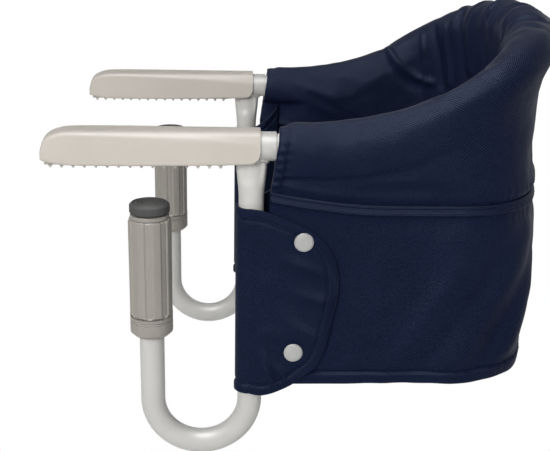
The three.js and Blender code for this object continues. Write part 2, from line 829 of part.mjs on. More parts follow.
// Padded roll and wall, down to the seam, with gathers round the back.
// Behind the flaps the inner cloth falls from the roll straight to the seam.
function bolsterCover() {
  const growthStart = flapRootX + flapTurnRadius;
  const stations = fabricStations(hemX, fabricSteps);
  const sections = stations.map((station, i) => {
    const { point, back } = station;
    const gather = gatherHeight * back * (i % 2 ? 1 : -1);
    const top = THREE.MathUtils.lerp(rollTopSide, rollTopBack, back) + gather;
    const inner = THREE.MathUtils.lerp(rollInSide, rollInBack, back) + gather / 2;
    const outer = THREE.MathUtils.lerp(rollOutSide, rollOutBack, back) - gather / 2;
    const sag = rollSagBack * back;
    const face = THREE.MathUtils.lerp(wallReachSide, wallReachBack, back);
    const bottom = waistAt(point.x) + clearance;
    const under = point.z - rollTopSide - frameTubeWall;
    const grown = THREE.MathUtils.smoothstep(point.x, growthStart, growthStart + wallGrowthLength);
    const foot = face - THREE.MathUtils.lerp(wallThickness, wallFootThickness, grown);
    const fall = THREE.MathUtils.lerp(face - wallThickness, -inner * rollFallShares.under, grown);
    const roll = rollShares.map(
      ([reach, height]) => new THREE.Vector2(reach * (reach < 0 ? inner : outer), point.z + height * top),
    );
    roll[0].x = THREE.MathUtils.lerp(roll[0].x, -inner * rollFallShares.below, grown);
    const outline = [
      new THREE.Vector2(foot, bottom),
      new THREE.Vector2((foot + fall) / 2, (bottom + under) / 2),
      new THREE.Vector2(fall, under),
      ...roll,
      new THREE.Vector2(outer, point.z - sag),
      new THREE.Vector2((outer + face) / 2, under - sag),
      new THREE.Vector2(face, (bottom + under - sag) / 2),
      new THREE.Vector2(face, bottom),
    ];
    return { outline, put: fabricPut(station, isHemStation(i, stations)) };
  });
  return cut(loft(sections), rollChannel());
}

// Folded band sewn over the seam.
function waistBand() {
  const stations = fabricStations(hemX, fabricSteps);
  const sections = stations.map((station, i) => {
    const inner = THREE.MathUtils.lerp(wallReachSide, wallReachBack, station.back) + clearance;
    const low = waistAt(station.point.x) - bandHeight / 2;
    const outline = [
      new THREE.Vector2(inner, low),
      new THREE.Vector2(inner + bandThickness, low + bandThickness / 2),
      new THREE.Vector2(inner + bandThickness, low + bandHeight - bandThickness / 2),
      new THREE.Vector2(inner, low + bandHeight),
    ];
    return { outline, put: fabricPut(station, isHemStation(i, stations)) };
  });
  return loft(sections);
}

// Shares of the skirt's height, from the seam down, with the share of the bulge there.
const skirtBulgeShares = [
  [0, 0],
  [0.06, 0],
  [0.16, 0.9],
  [0.42, 1],
  [0.75, 0.8],
  [1, 0.35],
];

// How far the skirt stands outside the loop's axis at a share of its height.
function skirtFace(station, along, bulgeShare) {
  const { point, back } = station;
  const face = THREE.MathUtils.lerp(wallReachSide, wallReachBack, back);
  const full = THREE.MathUtils.lerp(skirtBulgeSide, skirtBulgeBack, back);
  const free = THREE.MathUtils.clamp((point.x - legX - flapReach) / skirtFoldLength, 0, 1);
  const fold = skirtFoldHeight * Math.sin((2 * Math.PI * along) / skirtFoldLength);
  return face + bulgeShare * free * (full + fold);
}

// Skirt below the seam, open inside, from front hem to front hem.
function seatSkirt() {
  const stations = fabricStations(hemX, fabricSteps);
  let along = 0;
  const sections = stations.map((station, i) => {
    if (i > 0) along += station.point.distanceTo(stations[i - 1].point);
    const top = waistAt(station.point.x) - clearance;
    const drop = (share) => THREE.MathUtils.lerp(top, skirtBottom, share);
    const faces = skirtBulgeShares.map(
      ([height, bulge]) => new THREE.Vector2(skirtFace(station, along, bulge), drop(height)),
    );
    const inner = faces.map((p) => new THREE.Vector2(p.x - skirtThickness, p.y)).reverse();
    return { outline: [...faces, ...inner], put: fabricPut(station, isHemStation(i, stations)) };
  });
  return loft(sections);
}

// Plan outline inside the skirt, from a front line back, inset from the skirt's inner face.
function seatPlan(front, inset) {
  const stations = fabricStations(hemX, fabricSteps);
  const reach = (station) =>
    THREE.MathUtils.lerp(wallReachSide, wallReachBack, station.back) - skirtThickness - inset;
  const inside = stations.filter((station) => station.point.x > front + seatSideRun);
  const points = inside.map((station) =>
    station.point.clone().addScaledVector(station.outward, reach(station)),
  );
  const side = armY + wallReachSide - skirtThickness - inset;
  return [
    new THREE.Vector2(front, -side),
    ...points.map((p) => new THREE.Vector2(p.x, p.y)),
    new THREE.Vector2(front, side),
  ];
}

// Fabric floor of the seat.
function seatFloor() {
  const shape = new THREE.Shape(seatPlan(seatFront, clearance));
  const geometry = new THREE.ExtrudeGeometry(shape, { depth: floorThickness, bevelEnabled: false });
  return outward(geometry.translate(0, 0, floorZ));
}

// Stiff board on the floor, with its front corners cut round.
function seatBoard() {
  const front = seatFront + boardInset;
  const plan = seatPlan(front, boardInset);
  const corner = boardCornerRadius;
  const middleX = front + corner;
  const middleY = plan[plan.length - 1].y - corner;
  const shape = new THREE.Shape();
  shape.moveTo(front, middleY);
  shape.lineTo(front, -middleY);
  shape.absarc(middleX, -middleY, corner, Math.PI, 1.5 * Math.PI, false);
  plan.slice(1, -1).forEach((p) => shape.lineTo(p.x, p.y));
  shape.absarc(middleX, middleY, corner, Math.PI / 2, Math.PI, false);
  const geometry = new THREE.ExtrudeGeometry(shape, {
    depth: boardThickness,
    bevelEnabled: false,
    curveSegments: 4,
  });
  return outward(geometry.translate(0, 0, boardZ));
}

// Rings of the cushion: share of its thickness, and how far the ring is drawn in as a share of the inset.
const cushionRingShares = [
  [0, 2.2],
  [0.2, 0.7],
  [0.5, 0],
  [0.8, 0.8],
  [1, 3.4],
];

// Height of the cushion's top over a place on the seat.
function cushionTopAt(x, y) {
  const middle = (seatFront + backReach) / 2;
  const alongShare = (x - middle) / (backReach - middle);
  const acrossShare = y / armY;
  const fall = Math.max(0, 1 - alongShare * alongShare) * Math.max(0, 1 - acrossShare * acrossShare);
  return cushionZ + cushionThickness + cushionCrown * fall;
}

// Seat cushion: crowned top, drawn-in sides.
function seatCushion() {
  const middle = new THREE.Vector2((seatFront + backReach) / 2, 0);
  const plan = seatPlan(seatFront + cushionInset, cushionInset);
  const side = plan[0].y;
  const frontSteps = 4;
  for (let i = 1; i < frontSteps; i++) {
    plan.push(new THREE.Vector2(plan[0].x, -side + (2 * side * i) / frontSteps));
  }
  const ring = (drawn, height) =>
    plan.map((p) => {
      const toMiddle = middle.clone().sub(p);
      const moved = p.clone().addScaledVector(toMiddle.normalize(), drawn);
      return new THREE.Vector3(moved.x, moved.y, height(moved));
    });
  const rings = cushionRingShares.map(([rise, drawn]) => {
    const flat = cushionZ + rise * cushionThickness;
    return ring(drawn * cushionInset, (p) => (rise < 1 ? flat : cushionTopAt(p.x, p.y)));
  });
  for (const share of cushionTopShares) {
    const inner = plan.map((p) => {
      const moved = p.clone().lerp(middle, share);
      return new THREE.Vector3(moved.x, moved.y, cushionTopAt(moved.x, moved.y));
    });
    rings.push(inner);
  }
  return domed(rings, new THREE.Vector3(middle.x, middle.y, cushionTopAt(middle.x, middle.y)));
}

// A solid through rings, flat below its first ring and closed above its last by a crown point.
function domed(rings, crown) {
  const count = rings[0].length;
  const base = rings[0].reduce((sum, p) => sum.add(p), new THREE.Vector3()).divideScalar(count);
  const points = [...rings.flat(), base, crown];
  const triangles = [];
  for (let i = 0; i < count; i++) {
    const j = (i + 1) % count;
    for (let r = 0; r < rings.length - 1; r++) {
      const here = r * count;
      const next = here + count;
      triangles.push([here + i, here + j, next + j], [here + i, next + j, next + i]);
    }
    const top = (rings.length - 1) * count;
    triangles.push([j, i, points.length - 2], [top + i, top + j, points.length - 1]);
  }
  return closedGeometry(points, triangles);
}

// Outer leaf of a flap: share of its reach behind the leg, then its upper and lower edge
// as shares of its height.
const flapShares = [
  [-0.15, 0.01, 0.965],
  [0.13, 0.024, 1],
  [0.43, 0.073, 0.955],
  [0.66, 0.12, 0.882],
  [0.78, 0.16, 0.83],
  [0.88, 0.21, 0.72],
  [0.965, 0.28, 0.54],
  [1, 0.36, 0.45],
];

// Flap round one leg. Side is -1 for the near arm and 1 for the far one.
function legFlap(side) {
  const half = flapThickness / 2;
  const wrap = hookTubeRadius + clearance + half;
  const rootY = skirtFaceY - wallThickness - clearance - half;
  const at = (x, y) => new THREE.Vector3(x, side * y, 0);
  const corners = [
    at(flapRootX, rootY),
    at(flapTurnX, armY - wrap),
    at(legX - wrap, armY - wrap),
    at(legX - wrap, skirtFaceY + clearance + half),
    at(legX, skirtFaceY + clearance + half),
  ];
  const wrapPath = bentPath(corners, [flapTurnRadius, wrap, wrap], [2, 4, 4]);
  const innerShare = (x) => THREE.MathUtils.clamp((x - legX + wrap) / (flapRootX - legX + wrap), 0, 1);
  const wrapSections = wrapPath.slice(0, -1).map(({ point, tangent }, i) => {
    const inner = i < wrapPath.length / 2 ? innerShare(point.x) : 0;
    const top = THREE.MathUtils.lerp(flapTop, flapRootTop, inner ** 2);
    const bottom = flapTop - flapHeight * flapShares[0][2] + half * inner;
    return { point, tangent, top, bottom };
  });
  const outerSections = flapShares.slice(1).map(([reach, upper, lower]) => ({
    point: at(legX + reach * flapReach, skirtFaceY + clearance + half),
    tangent: new THREE.Vector3(1, 0, 0),
    top: flapTop - upper * flapHeight,
    bottom: flapTop - lower * flapHeight,
  }));
  const rows = 4;
  const sections = [...wrapSections, ...outerSections].map(({ point, tangent, top, bottom }) => {
    const across = new THREE.Vector3(tangent.y, -tangent.x, 0).normalize();
    const height = (i) => THREE.MathUtils.lerp(top, bottom, i / rows);
    const face = (offset) => Array.from({ length: rows + 1 }, (_, i) => new THREE.Vector2(offset, height(i)));
    return {
      outline: [...face(half), ...face(-half).reverse()],
      put: (p) => point.clone().addScaledVector(across, p.x).setZ(p.y),
    };
  });
  return loft(sections);
}

// Domed cap of a snap, its flat back at y = 0 and its dome towards -Y.
function snapCap() {
  const edge = snapThickness / 2;
  return turned(
    [
      [0, 0],
      [snapRadius, 0],
      [snapRadius, edge / 2],
      [snapRadius - edge / 2, edge],
      [snapRadius - 2 * edge, snapThickness - edge / 2],
      [snapRadius / 3, snapThickness],
      [0, snapThickness],
    ],
    tubeSides,
  ).rotateX(Math.PI / 2);
}

// Stud of a snap, inside the skirt.
function snapStud() {
  return turned(
    [
      [0, 0],
      [studRadius, 0],
      [studRadius, studThickness / 2],
      [studRadius / 2, studThickness],
      [0, studThickness],
    ],
    tubeSides,
  ).rotateX(Math.PI / 2);
}

// A strap with a middle line in X and Z, as wide as the web.
function webbing(line) {
  const half = webThickness / 2;
  const side = (sign) =>
    line.map((p, i) => {
      const before = line[Math.max(0, i - 1)];
      const after = line[Math.min(line.length - 1, i + 1)];
      const along = after.clone().sub(before).normalize();
      return new THREE.Vector2(p.x - sign * half * along.y, p.y + sign * half * along.x);
    });
  const shape = new THREE.Shape([...side(1), ...side(-1).reverse()]);
  const geometry = new THREE.ExtrudeGeometry(shape, { depth: webWidth, bevelEnabled: false });
  return outward(geometry.rotateX(Math.PI / 2).translate(0, webWidth / 2, 0));
}

// Height of a strap's middle line where it lies on the cushion.
function webRest(x, y) {
  return cushionTopAt(x, y) + clearance + webThickness;
}

// Crotch strap: up past the seat's front edge and back over the cushion to the buckle.
function crotchStrap() {
  const up = seatFront - clearance - webThickness;
  const end = buckleX - buckleLength / 2 - clearance;
  const bend = cushionThickness / 3;
  const line = [
    new THREE.Vector2(up, floorZ + clearance),
    new THREE.Vector2(up, cushionZ + cushionThickness - bend),
    new THREE.Vector2(up + bend / 3, webRest(seatFront, 0) - bend / 3),
    new THREE.Vector2(up + bend, webRest(seatFront, 0) + clearance),
    new THREE.Vector2((up + end) / 2, webRest((up + end) / 2, 0)),
    new THREE.Vector2(end, webRest(end, 0)),
  ];
  return webbing(line);
}

// Rounded plan outline of the buckle.
function roundedShape(length, width, corner) {
  const shape = new THREE.Shape();
  const x = length / 2 - corner;
  const y = width / 2 - corner;
  shape.absarc(x, y, corner, 0, Math.PI / 2, false);
  shape.absarc(-x, y, corner, Math.PI / 2, Math.PI, false);
  shape.absarc(-x, -y, corner, Math.PI, 1.5 * Math.PI, false);
  shape.absarc(x, -y, corner, 1.5 * Math.PI, 2 * Math.PI, false);
  return shape;
}

// Buckle body, with a well for the button and a slot for a tongue on each side.
function buckleBody(low) {
  const bevel = buckleThickness / 6;
  const plan = roundedShape(buckleLength - 2 * bevel, buckleWidth - 2 * bevel, buckleCorner - bevel);
  const body = new THREE.ExtrudeGeometry(plan, {
    depth: buckleThickness - 2 * bevel,
    bevelSize: bevel,
    bevelThickness: bevel,
    bevelSegments: 2,
    curveSegments: 3,
  });
  const wellDepth = buttonThickness - buttonProud + clearance;
  const well = turned([
    [0, low + buckleThickness - wellDepth - tongueThickness],
    [buttonRadius + clearance, low + buckleThickness - wellDepth - tongueThickness],
    [buttonRadius + clearance, low + buckleThickness + overrun],
    [0, low + buckleThickness + overrun],
  ]);
  const slots = Object.values(arms).map((side) => tongueSlot(side, low));
  return cut(outward(body).translate(0, 0, low + bevel), well, ...slots);
}

function tongueLowZ(low) {
  return low + buckleThickness / 4;
}

function tongueSlot(side, low) {
  const depth = tongueLength / 2;
  const y = side * (buckleWidth / 2 - depth / 2 + overrun / 2);
  const half = new THREE.Vector3(tongueWidth / 2 + clearance, (depth + overrun) / 2, 0);
  const centre = new THREE.Vector3(0, y, 0);
  return boxBetween(
    centre.clone().sub(half).setZ(tongueLowZ(low) - clearance),
    centre.clone().add(half).setZ(tongueLowZ(low) + tongueThickness + clearance),
  );
}

// Press button in the buckle.
function buckleButton(low) {
  const top = low + buckleThickness + buttonProud;
  const edge = buttonProud / 2;
  return turned([
    [0, top - buttonThickness],
    [buttonRadius, top - buttonThickness],
    [buttonRadius, top - edge],
    [buttonRadius - edge, top],
    [0, top - edge],
  ]);
}

// Tongue of a waist strap: a plate with a slot for the strap.
function buckleTongue(side, low) {
  const inner = buckleWidth / 2 - tongueLength / 2 + clearance;
  const shape = roundedShape(tongueLength, tongueWidth, tongueCorner);
  const slot = new THREE.Path();
  const near = tongueLength / 2 - tongueMargin;
  const slotWidth = 2 * webThickness;
  const y = tongueWidth / 2 - tongueMargin;
  slot.moveTo(near, -y);
  slot.lineTo(near - slotWidth, -y);
  slot.lineTo(near - slotWidth, y);
  slot.lineTo(near, y);
  shape.holes.push(slot);
  const geometry = new THREE.ExtrudeGeometry(shape, {
    depth: tongueThickness,
    bevelEnabled: false,
    curveSegments: 3,
  });
  const turn = (side * Math.PI) / 2;
  return outward(geometry.rotateZ(turn).translate(0, side * (inner + tongueLength / 2), tongueLowZ(low)));
}

// Waist strap from the side wall to its tongue.
function waistStrap(side, low) {
  const tongueEnd = buckleWidth / 2 + tongueLength / 2 + 2 * clearance;
  const to = new THREE.Vector2(waistStrapRootX, side * (armY - rollInSide));
  const slant = Math.atan2(Math.abs(to.y) - tongueEnd, to.x - buckleX);
  const cornerReach = (webWidth / 2) * Math.cos(slant);
  const from = new THREE.Vector2(buckleX, side * (tongueEnd + cornerReach));
  const run = to.clone().sub(from);
  const length = run.length();
  const steps = 5;
  const line = Array.from({ length: steps + 1 }, (_, i) => {
    const share = i / steps;
    const x = from.x + run.x * share;
    const y = from.y + run.y * share;
    const rise = share === 0 ? Math.max(0, tongueLowZ(low) + tongueThickness / 2 - webRest(x, y)) : 0;
    return new THREE.Vector2(length * share, webRest(x, y) + clearance + rise);
  });
  return webbing(line).rotateZ(run.angle()).translate(from.x, from.y, 0);
}

// One arm: what swings with the hook, its clamp, and what stays on the loop.
function addArm(name, side) {
  const arm = new THREE.Group();
  arm.position.y = side * armY;
  chair.add(arm);
  place(arm, `${name}_pivot_barrel`, pivotBarrel(), paint);
  place(arm, `${name}_pivot_bush`, pivotBush(), gripPlastic);
  place(arm, `${name}_end_plug`, endPlug(), gripPlastic);
  place(arm, `${name}_hook_tube`, hookTube(), paint);
  place(arm, `${name}_arm_pad`, armPad(), padPlastic);
  place(arm, `${name}_table_grip`, tableGrip(), rubber);
  place(arm, `${name}_tube_nut`, tubeNut(), steel);
  place(arm, `${name}_clamp_spindle`, clampSpindle(), steel);
  place(arm, `${name}_twist_grip`, twistGrip(), gripPlastic);
  place(arm, `${name}_grip_collar`, gripCollar(), gripPlastic);
  place(arm, `${name}_foot_carrier`, footCarrier(), gripPlastic);
  place(arm, `${name}_clamp_foot`, clampFoot(), rubber);
}

// One flap and its two snaps.
function addFlap(name, side) {
  place(chair, `${name}_leg_flap`, legFlap(side), fabric);
  const capY = side * (skirtFaceY + 2 * clearance + flapThickness);
  const studY = side * (skirtFaceY - skirtThickness - clearance);
  for (const [level, spot] of Object.entries({ upper: upperSnap, lower: lowerSnap })) {
    const cap = place(chair, `${name}_${level}_snap_cap`, snapCap(), snapPlastic);
    cap.position.set(spot.x, capY, spot.y);
    cap.rotation.z = side > 0 ? Math.PI : 0;
    const stud = place(chair, `${name}_${level}_snap_stud`, snapStud(), snapPlastic);
    stud.position.set(spot.x, studY, spot.y);
    stud.rotation.z = side > 0 ? 0 : Math.PI;
  }
}

function addHarness() {
  place(chair, "crotch_strap", crotchStrap(), trim);
  const low = cushionTopAt(buckleX, 0) + clearance;
  const buckle = new THREE.Group();
  buckle.position.x = buckleX;
  chair.add(buckle);
  place(buckle, "buckle_body", buckleBody(low), blackPlastic);
  place(buckle, "buckle_button", buckleButton(low), blackPlastic);
  for (const [name, side] of Object.entries(arms)) {
    place(buckle, `${name}_buckle_tongue`, buckleTongue(side, low), blackPlastic);
    place(chair, `${name}_waist_strap`, waistStrap(side, low), trim);
  }
}

place(chair, "loop_frame", loopFrame(), paint);
place(chair, "bolster_cover", bolsterCover(), fabric);
place(chair, "waist_band", waistBand(), trim);
place(chair, "seat_skirt", seatSkirt(), fabric);
place(chair, "seat_floor", seatFloor(), fabric);
place(chair, "seat_board", seatBoard(), boardPlastic);
place(chair, "seat_cushion", seatCushion(), fabric);
for (const [name, side] of Object.entries(arms)) {
  addArm(name, side);
  addFlap(name, side);
}
addHarness();

export default chair;
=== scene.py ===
# Looks of a hook-on table chair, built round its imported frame.
# Metres. +X from the table towards the seat back, +Y across the seat, +Z up.
from math import acos, atan2, cos, pi, radians, sin, sqrt, tan, tau
import bmesh
import bpy
import numpy as np
from mathutils import Matrix, Vector, noise
from mathutils.bvhtree import BVHTree


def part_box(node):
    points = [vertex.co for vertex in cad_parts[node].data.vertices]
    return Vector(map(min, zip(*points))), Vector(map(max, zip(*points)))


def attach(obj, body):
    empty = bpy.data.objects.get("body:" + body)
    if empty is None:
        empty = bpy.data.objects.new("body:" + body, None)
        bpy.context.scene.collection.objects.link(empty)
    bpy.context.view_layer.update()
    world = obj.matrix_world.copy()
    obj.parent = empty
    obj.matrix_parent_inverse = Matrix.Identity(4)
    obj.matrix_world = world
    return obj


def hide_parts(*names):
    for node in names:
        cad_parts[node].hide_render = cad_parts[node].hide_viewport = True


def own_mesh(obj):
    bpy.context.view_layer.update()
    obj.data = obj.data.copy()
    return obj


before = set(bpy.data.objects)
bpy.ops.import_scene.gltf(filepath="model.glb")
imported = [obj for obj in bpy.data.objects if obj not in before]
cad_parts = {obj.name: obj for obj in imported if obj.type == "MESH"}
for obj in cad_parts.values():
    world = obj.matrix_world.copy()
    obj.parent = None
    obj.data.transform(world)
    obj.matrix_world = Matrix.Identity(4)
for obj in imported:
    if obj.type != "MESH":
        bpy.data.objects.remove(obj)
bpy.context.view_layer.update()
scene = bpy.context.scene
sides = {"near": -1, "far": 1}
print("frame loaded")


def put(item, **settings):
    for key, value in settings.items():
        setattr(item, key, value)
    return item


def addObject(name, data):
    item = bpy.data.objects.new(name, data)
    scene.collection.objects.link(item)
    return item


# Camera, at the photograph's angle.
cameraView = {
    "place": (-0.00432, -0.98656, 0.20969),
    "pitch": radians(17.565), "yaw": radians(2.698), "roll": radians(1.060),
    "lens": 65.4545, "sensor": 36.0,
}


def addCamera(view):
    pitch, yaw, roll = view["pitch"], view["yaw"], view["roll"]
    ahead = Vector((sin(yaw) * cos(pitch), cos(yaw) * cos(pitch), -sin(pitch)))
    level = Vector((cos(yaw), -sin(yaw), 0))
    up = level.cross(ahead)
    right = level * cos(roll) + up * sin(roll)
    top = up * cos(roll) - level * sin(roll)
    data = bpy.data.cameras.new("photoCamera")
    put(data, lens=view["lens"], sensor_width=view["sensor"], clip_start=0.01, clip_end=50)
    scene.camera = addObject("photoCamera", data)
    turn = Matrix((right, top, -ahead)).transposed().to_4x4()
    scene.camera.matrix_world = Matrix.Translation(view["place"]) @ turn


addCamera(cameraView)


# Small tools for points.
def smoothStep(low, high, value):
    share = np.clip((np.asarray(value, float) - low) / (high - low), 0, 1)
    return share * share * (3 - 2 * share)


def mix(a, b, share):
    return a + (b - a) * share


def bell(distance, width):
    return np.exp(-((distance / width) ** 2))


def unit(vectors):
    return vectors / np.linalg.norm(vectors, axis=-1, keepdims=True)


def together(*parts):  # coordinates side by side, on a last axis
    return np.stack(np.broadcast_arrays(*parts), axis=-1)


def curveBasis(count, samples, closed):  # Catmull-Rom weights of each control point at each sample
    basis = np.zeros((samples, count))
    spans = count if closed else count - 1
    for i in range(samples):
        place = i * spans / (samples if closed else samples - 1)
        start = min(int(place), spans - 1)
        t = place - start
        weights = (
            -0.5 * t + t * t - 0.5 * t**3, 1 - 2.5 * t * t + 1.5 * t**3,
            0.5 * t + 2 * t * t - 1.5 * t**3, -0.5 * t * t + 0.5 * t**3,
        )
        for at, weight in enumerate(weights, start - 1):
            at = at % count if closed else min(max(at, 0), count - 1)
            basis[i, at] += weight
    return basis


def smoothLine(points, samples, closed=False):
    points = np.asarray(points, float)
    return curveBasis(len(points), samples, closed) @ points


def filletLine(points, radius, steps=5, closed=False):  # rounds the corners, alike or by a list of radii
    points = [np.asarray(p, float) for p in points]
    rounded = []
    for i, corner in enumerate(points):
        if not closed and i in (0, len(points) - 1):
            rounded.append(corner)
            continue
        before, after = points[i - 1] - corner, points[(i + 1) % len(points)] - corner
        shorter = min(np.linalg.norm(before), np.linalg.norm(after))
        before, after = unit(before), unit(after)
        half = acos(float(np.clip(before @ after, -1, 1))) / 2
        size = radius[i] if isinstance(radius, list) else radius
        cut = min(max(size / tan(half), 0.02 * size), 0.48 * shorter)
        for t in np.arange(steps + 1) / steps:
            rounded.append(corner + before * cut * (1 - t) ** 2 + after * cut * t * t)
    return rounded


def summed(steps):
    return np.concatenate([[0], np.cumsum(steps)])


def gaps(points, axis=0):  # distances between neighbours along an axis
    return np.linalg.norm(np.diff(points, axis=axis), axis=-1)


def runLength(line):
    return summed(gaps(line))


def atRuns(line, places):  # points at these distances along a line
    along = runLength(line)
    return together(*(np.interp(places, along, part) for part in line.T))


def evenLine(line, spacing):
    total = runLength(line)[-1]
    return atRuns(line, np.linspace(0, total, max(2, int(round(total / spacing)) + 1)))


def evenRing(ring, count):  # the same closed outline with its points evenly spread
    looped = np.concatenate([ring, ring[:1]])
    return atRuns(looped, np.arange(count) * runLength(looped)[-1] / count)


def bentLine(corners, radii, spacing):  # even stations along straight runs joined by bends
    corners = [Vector(c) for c in corners]
    points = [corners[0]]
    for i, radius in enumerate(radii, 1):
        before = (corners[i] - corners[i - 1]).normalized()
        after = (corners[i + 1] - corners[i]).normalized()
        turn = before.angle(after)
        start = corners[i] - before * radius * tan(turn / 2)
        axis = before.cross(after).normalized()
        centre = start + axis.cross(before) * radius
        steps = max(6, int(radius * turn / spacing * 2))
        for k in range(steps + 1):
            points.append(centre + Matrix.Rotation(turn * k / steps, 3, axis) @ (start - centre))
    points.append(corners[-1])
    return evenLine(np.array([tuple(p) for p in points]), spacing)


def noiseAt(points, size, seed=0.0):
    flat = np.asarray(points, float).reshape(-1, 3) / size + seed
    return np.array([noise.noise(Vector(p)) for p in flat]).reshape(np.shape(points)[:-1])


def pushOut(grid, amount):  # moves the points of a closed grid outwards
    across = np.roll(grid, -1, axis=1) - np.roll(grid, 1, axis=1)
    normals = np.cross(np.gradient(grid, axis=0), across)
    normals /= np.maximum(np.linalg.norm(normals, axis=2), 1e-12)[..., None]
    outside = 1 if ((grid - grid.mean(axis=1, keepdims=True)) * normals).sum() > 0 else -1
    return grid + normals * amount[..., None] * outside


# Small tools for meshes. A piece that stands for a CAD node has the node's name in camel case.
nodeOf = {node[0] + node.title().replace("_", "")[1:]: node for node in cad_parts}


def seat(piece, body):
    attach(piece, body)
    if piece.name in nodeOf:
        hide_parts(nodeOf[piece.name])
    return piece


def shadeSmooth(mesh):
    mesh.polygons.foreach_set("use_smooth", [True] * len(mesh.polygons))


def makePiece(name, points, faces, finish, body, uv=None):
    mesh = bpy.data.meshes.new(name)
    mesh.from_pydata([tuple(map(float, p)) for p in points], [], faces)
    if uv is not None:
        layer = mesh.uv_layers.new(name="weave")
        layer.data.foreach_set("uv", np.asarray(uv, np.float32).ravel())
    shell = bmesh.new()
    shell.from_mesh(mesh)
    bmesh.ops.recalc_face_normals(shell, faces=shell.faces)
    if shell.calc_volume(signed=True) < 0:
        bmesh.ops.reverse_faces(shell, faces=shell.faces)
    shell.to_mesh(mesh)
    shell.free()
    shadeSmooth(mesh)
    mesh.materials.append(finishes[finish])
    piece = addObject(name, mesh)
    return seat(piece, body) if body else piece


def gridPiece(name, grid, finish, body="seat", ring=False):
    # Rows of points closed across, joined end to end when ring is set and capped by fans if not.
    grid = np.asarray(grid, float)
    rows, columns = grid.shape[:2]
    along = summed(gaps(grid).mean(axis=1))
    along = np.append(along, along[-1] + np.linalg.norm(grid[-1] - grid[0], axis=1).mean())
    across = summed(gaps(np.concatenate([grid, grid[:, :1]], axis=1), 1).mean(axis=0))
    faces, uv = [], []
    for r in range(rows if ring else rows - 1):
        here, there = r * columns, (r + 1) % rows * columns
        for c in range(columns):
            d = (c + 1) % columns
            faces.append((here + c, there + c, there + d, here + d))
            uv += [(along[r], across[c]), (along[r + 1], across[c])]
            uv += [(along[r + 1], across[c + 1]), (along[r], across[c + 1])]
    points = list(grid.reshape(-1, 3))
    for row in () if ring else (0, rows - 1):
        for c in range(columns):
            pair = (row * columns + c, row * columns + (c + 1) % columns)
            faces.append((*(pair[::-1] if row else pair), len(points)))
            uv += [(0, across[c]), (0, across[c + 1]), (0.01, across[c])]
        points.append(grid[row].mean(axis=0))
    return makePiece(name, points, faces, finish, body, uv)


def tubeProfile(bore, radius, low, high):
    return [(bore, low), (radius, low), (radius, high), (bore, high)]


def turnedPiece(name, profile, centre, axis, finish, body, segments=96, radius=0.0006):
    # A lathe: pairs of radius and height that close on themselves or on the axis.
    onAxis = profile[0][0] == 0 and profile[-1][0] == 0
    turn = Vector((0, 0, 1)).rotation_difference(Vector(axis)).to_matrix()
    points, faces, rings = [], [], []
    for r, h in filletLine(profile, radius, 4, closed=not onAxis):
        count = segments if r > 1e-7 else 1
        rings.append(range(len(points), len(points) + count))
        for angle in np.arange(count) * tau / segments:
            points.append(turn @ Vector((r * cos(angle), r * sin(angle), h)) + Vector(centre))
    for low, high in zip(rings, rings[1:] + ([] if onAxis else rings[:1])):
        for k in range(segments):
            j = (k + 1) % segments
            if len(low) == 1:
                faces.append((low[0], high[k], high[j]))
            elif len(high) == 1:
                faces.append((low[k], low[j], high[0]))
            else:
                faces.append((low[k], low[j], high[j], high[k]))
    return makePiece(name, points, faces, finish, body)


def beadPiece(name, line, radius, finish, body, segments=12):
    # A round bead along a closed line. The radius may change along it.
    tangents = unit(np.roll(line, -1, axis=0) - np.roll(line, 1, axis=0))
    normal = np.cross(tangents[0], (0.31, 0.22, 0.92))
    angles = np.linspace(0, tau, segments, endpoint=False)[:, None]
    grid = []
    for point, tangent, size in zip(line, tangents, np.broadcast_to(radius, len(line))):
        normal = unit(normal - tangent * (normal @ tangent))
        side = np.cross(tangent, normal)
        grid.append(point + size * (np.cos(angles) * normal + np.sin(angles) * side))
    return gridPiece(name, grid, finish, body, ring=True)


def plainMesh(piece):  # the result of the modifiers, as the piece's own mesh
    bpy.context.view_layer.update()
    graph = bpy.context.evaluated_depsgraph_get()
    made = bpy.data.meshes.new_from_object(piece.evaluated_get(graph))
    piece.modifiers.clear()
    piece.data = made
    shadeSmooth(made)


def modify(piece, kind, **settings):
    put(piece.modifiers.new(kind, kind), **settings)
    plainMesh(piece)


def grow(piece, tree, **values):  # runs a node tree on the piece
    modifier = put(piece.modifiers.new(tree.name, "NODES"), node_group=tree)
    for item in tree.interface.items_tree:
        if item.in_out == "INPUT" and item.name in values:
            modifier[item.identifier] = values[item.name]
    plainMesh(piece)


# Materials. Value lets a shader's numbers be added up as in a formula.
def feed(tree, socket, value):
    value = value.socket if isinstance(value, Value) else value
    if isinstance(value, bpy.types.NodeSocket):
        tree.links.new(value, socket)
    else:
        socket.default_value = value


def addNode(tree, kind, settings=None, inputs=None):
    node = tree.nodes.new(kind)
    settings = dict(settings or {})
    for number, (place, shade) in enumerate(settings.pop("stops", ())):
        put(node.color_ramp.elements[number], position=place, color=(shade, shade, shade, 1))
    put(node, **settings)
    for key, value in (inputs or {}).items():
        feed(tree, node.inputs[key], value)
    return node


class Value:
    def __init__(self, finish, socket):
        self.finish, self.socket = finish, socket

    def maths(self, operation, *others):
        inputs = dict(enumerate((self, *others)))
        return Value(self.finish, self.finish.node("ShaderNodeMath", {"operation": operation}, inputs))

    def __add__(self, other):
        return self.maths("ADD", other)

    def __mul__(self, other):
        return self.maths("MULTIPLY", other)

    def __sub__(self, other):
        return self.maths("SUBTRACT", other)

    def __rsub__(self, other):
        return (self * -1) + other

    __radd__ = __add__
    __rmul__ = __mul__


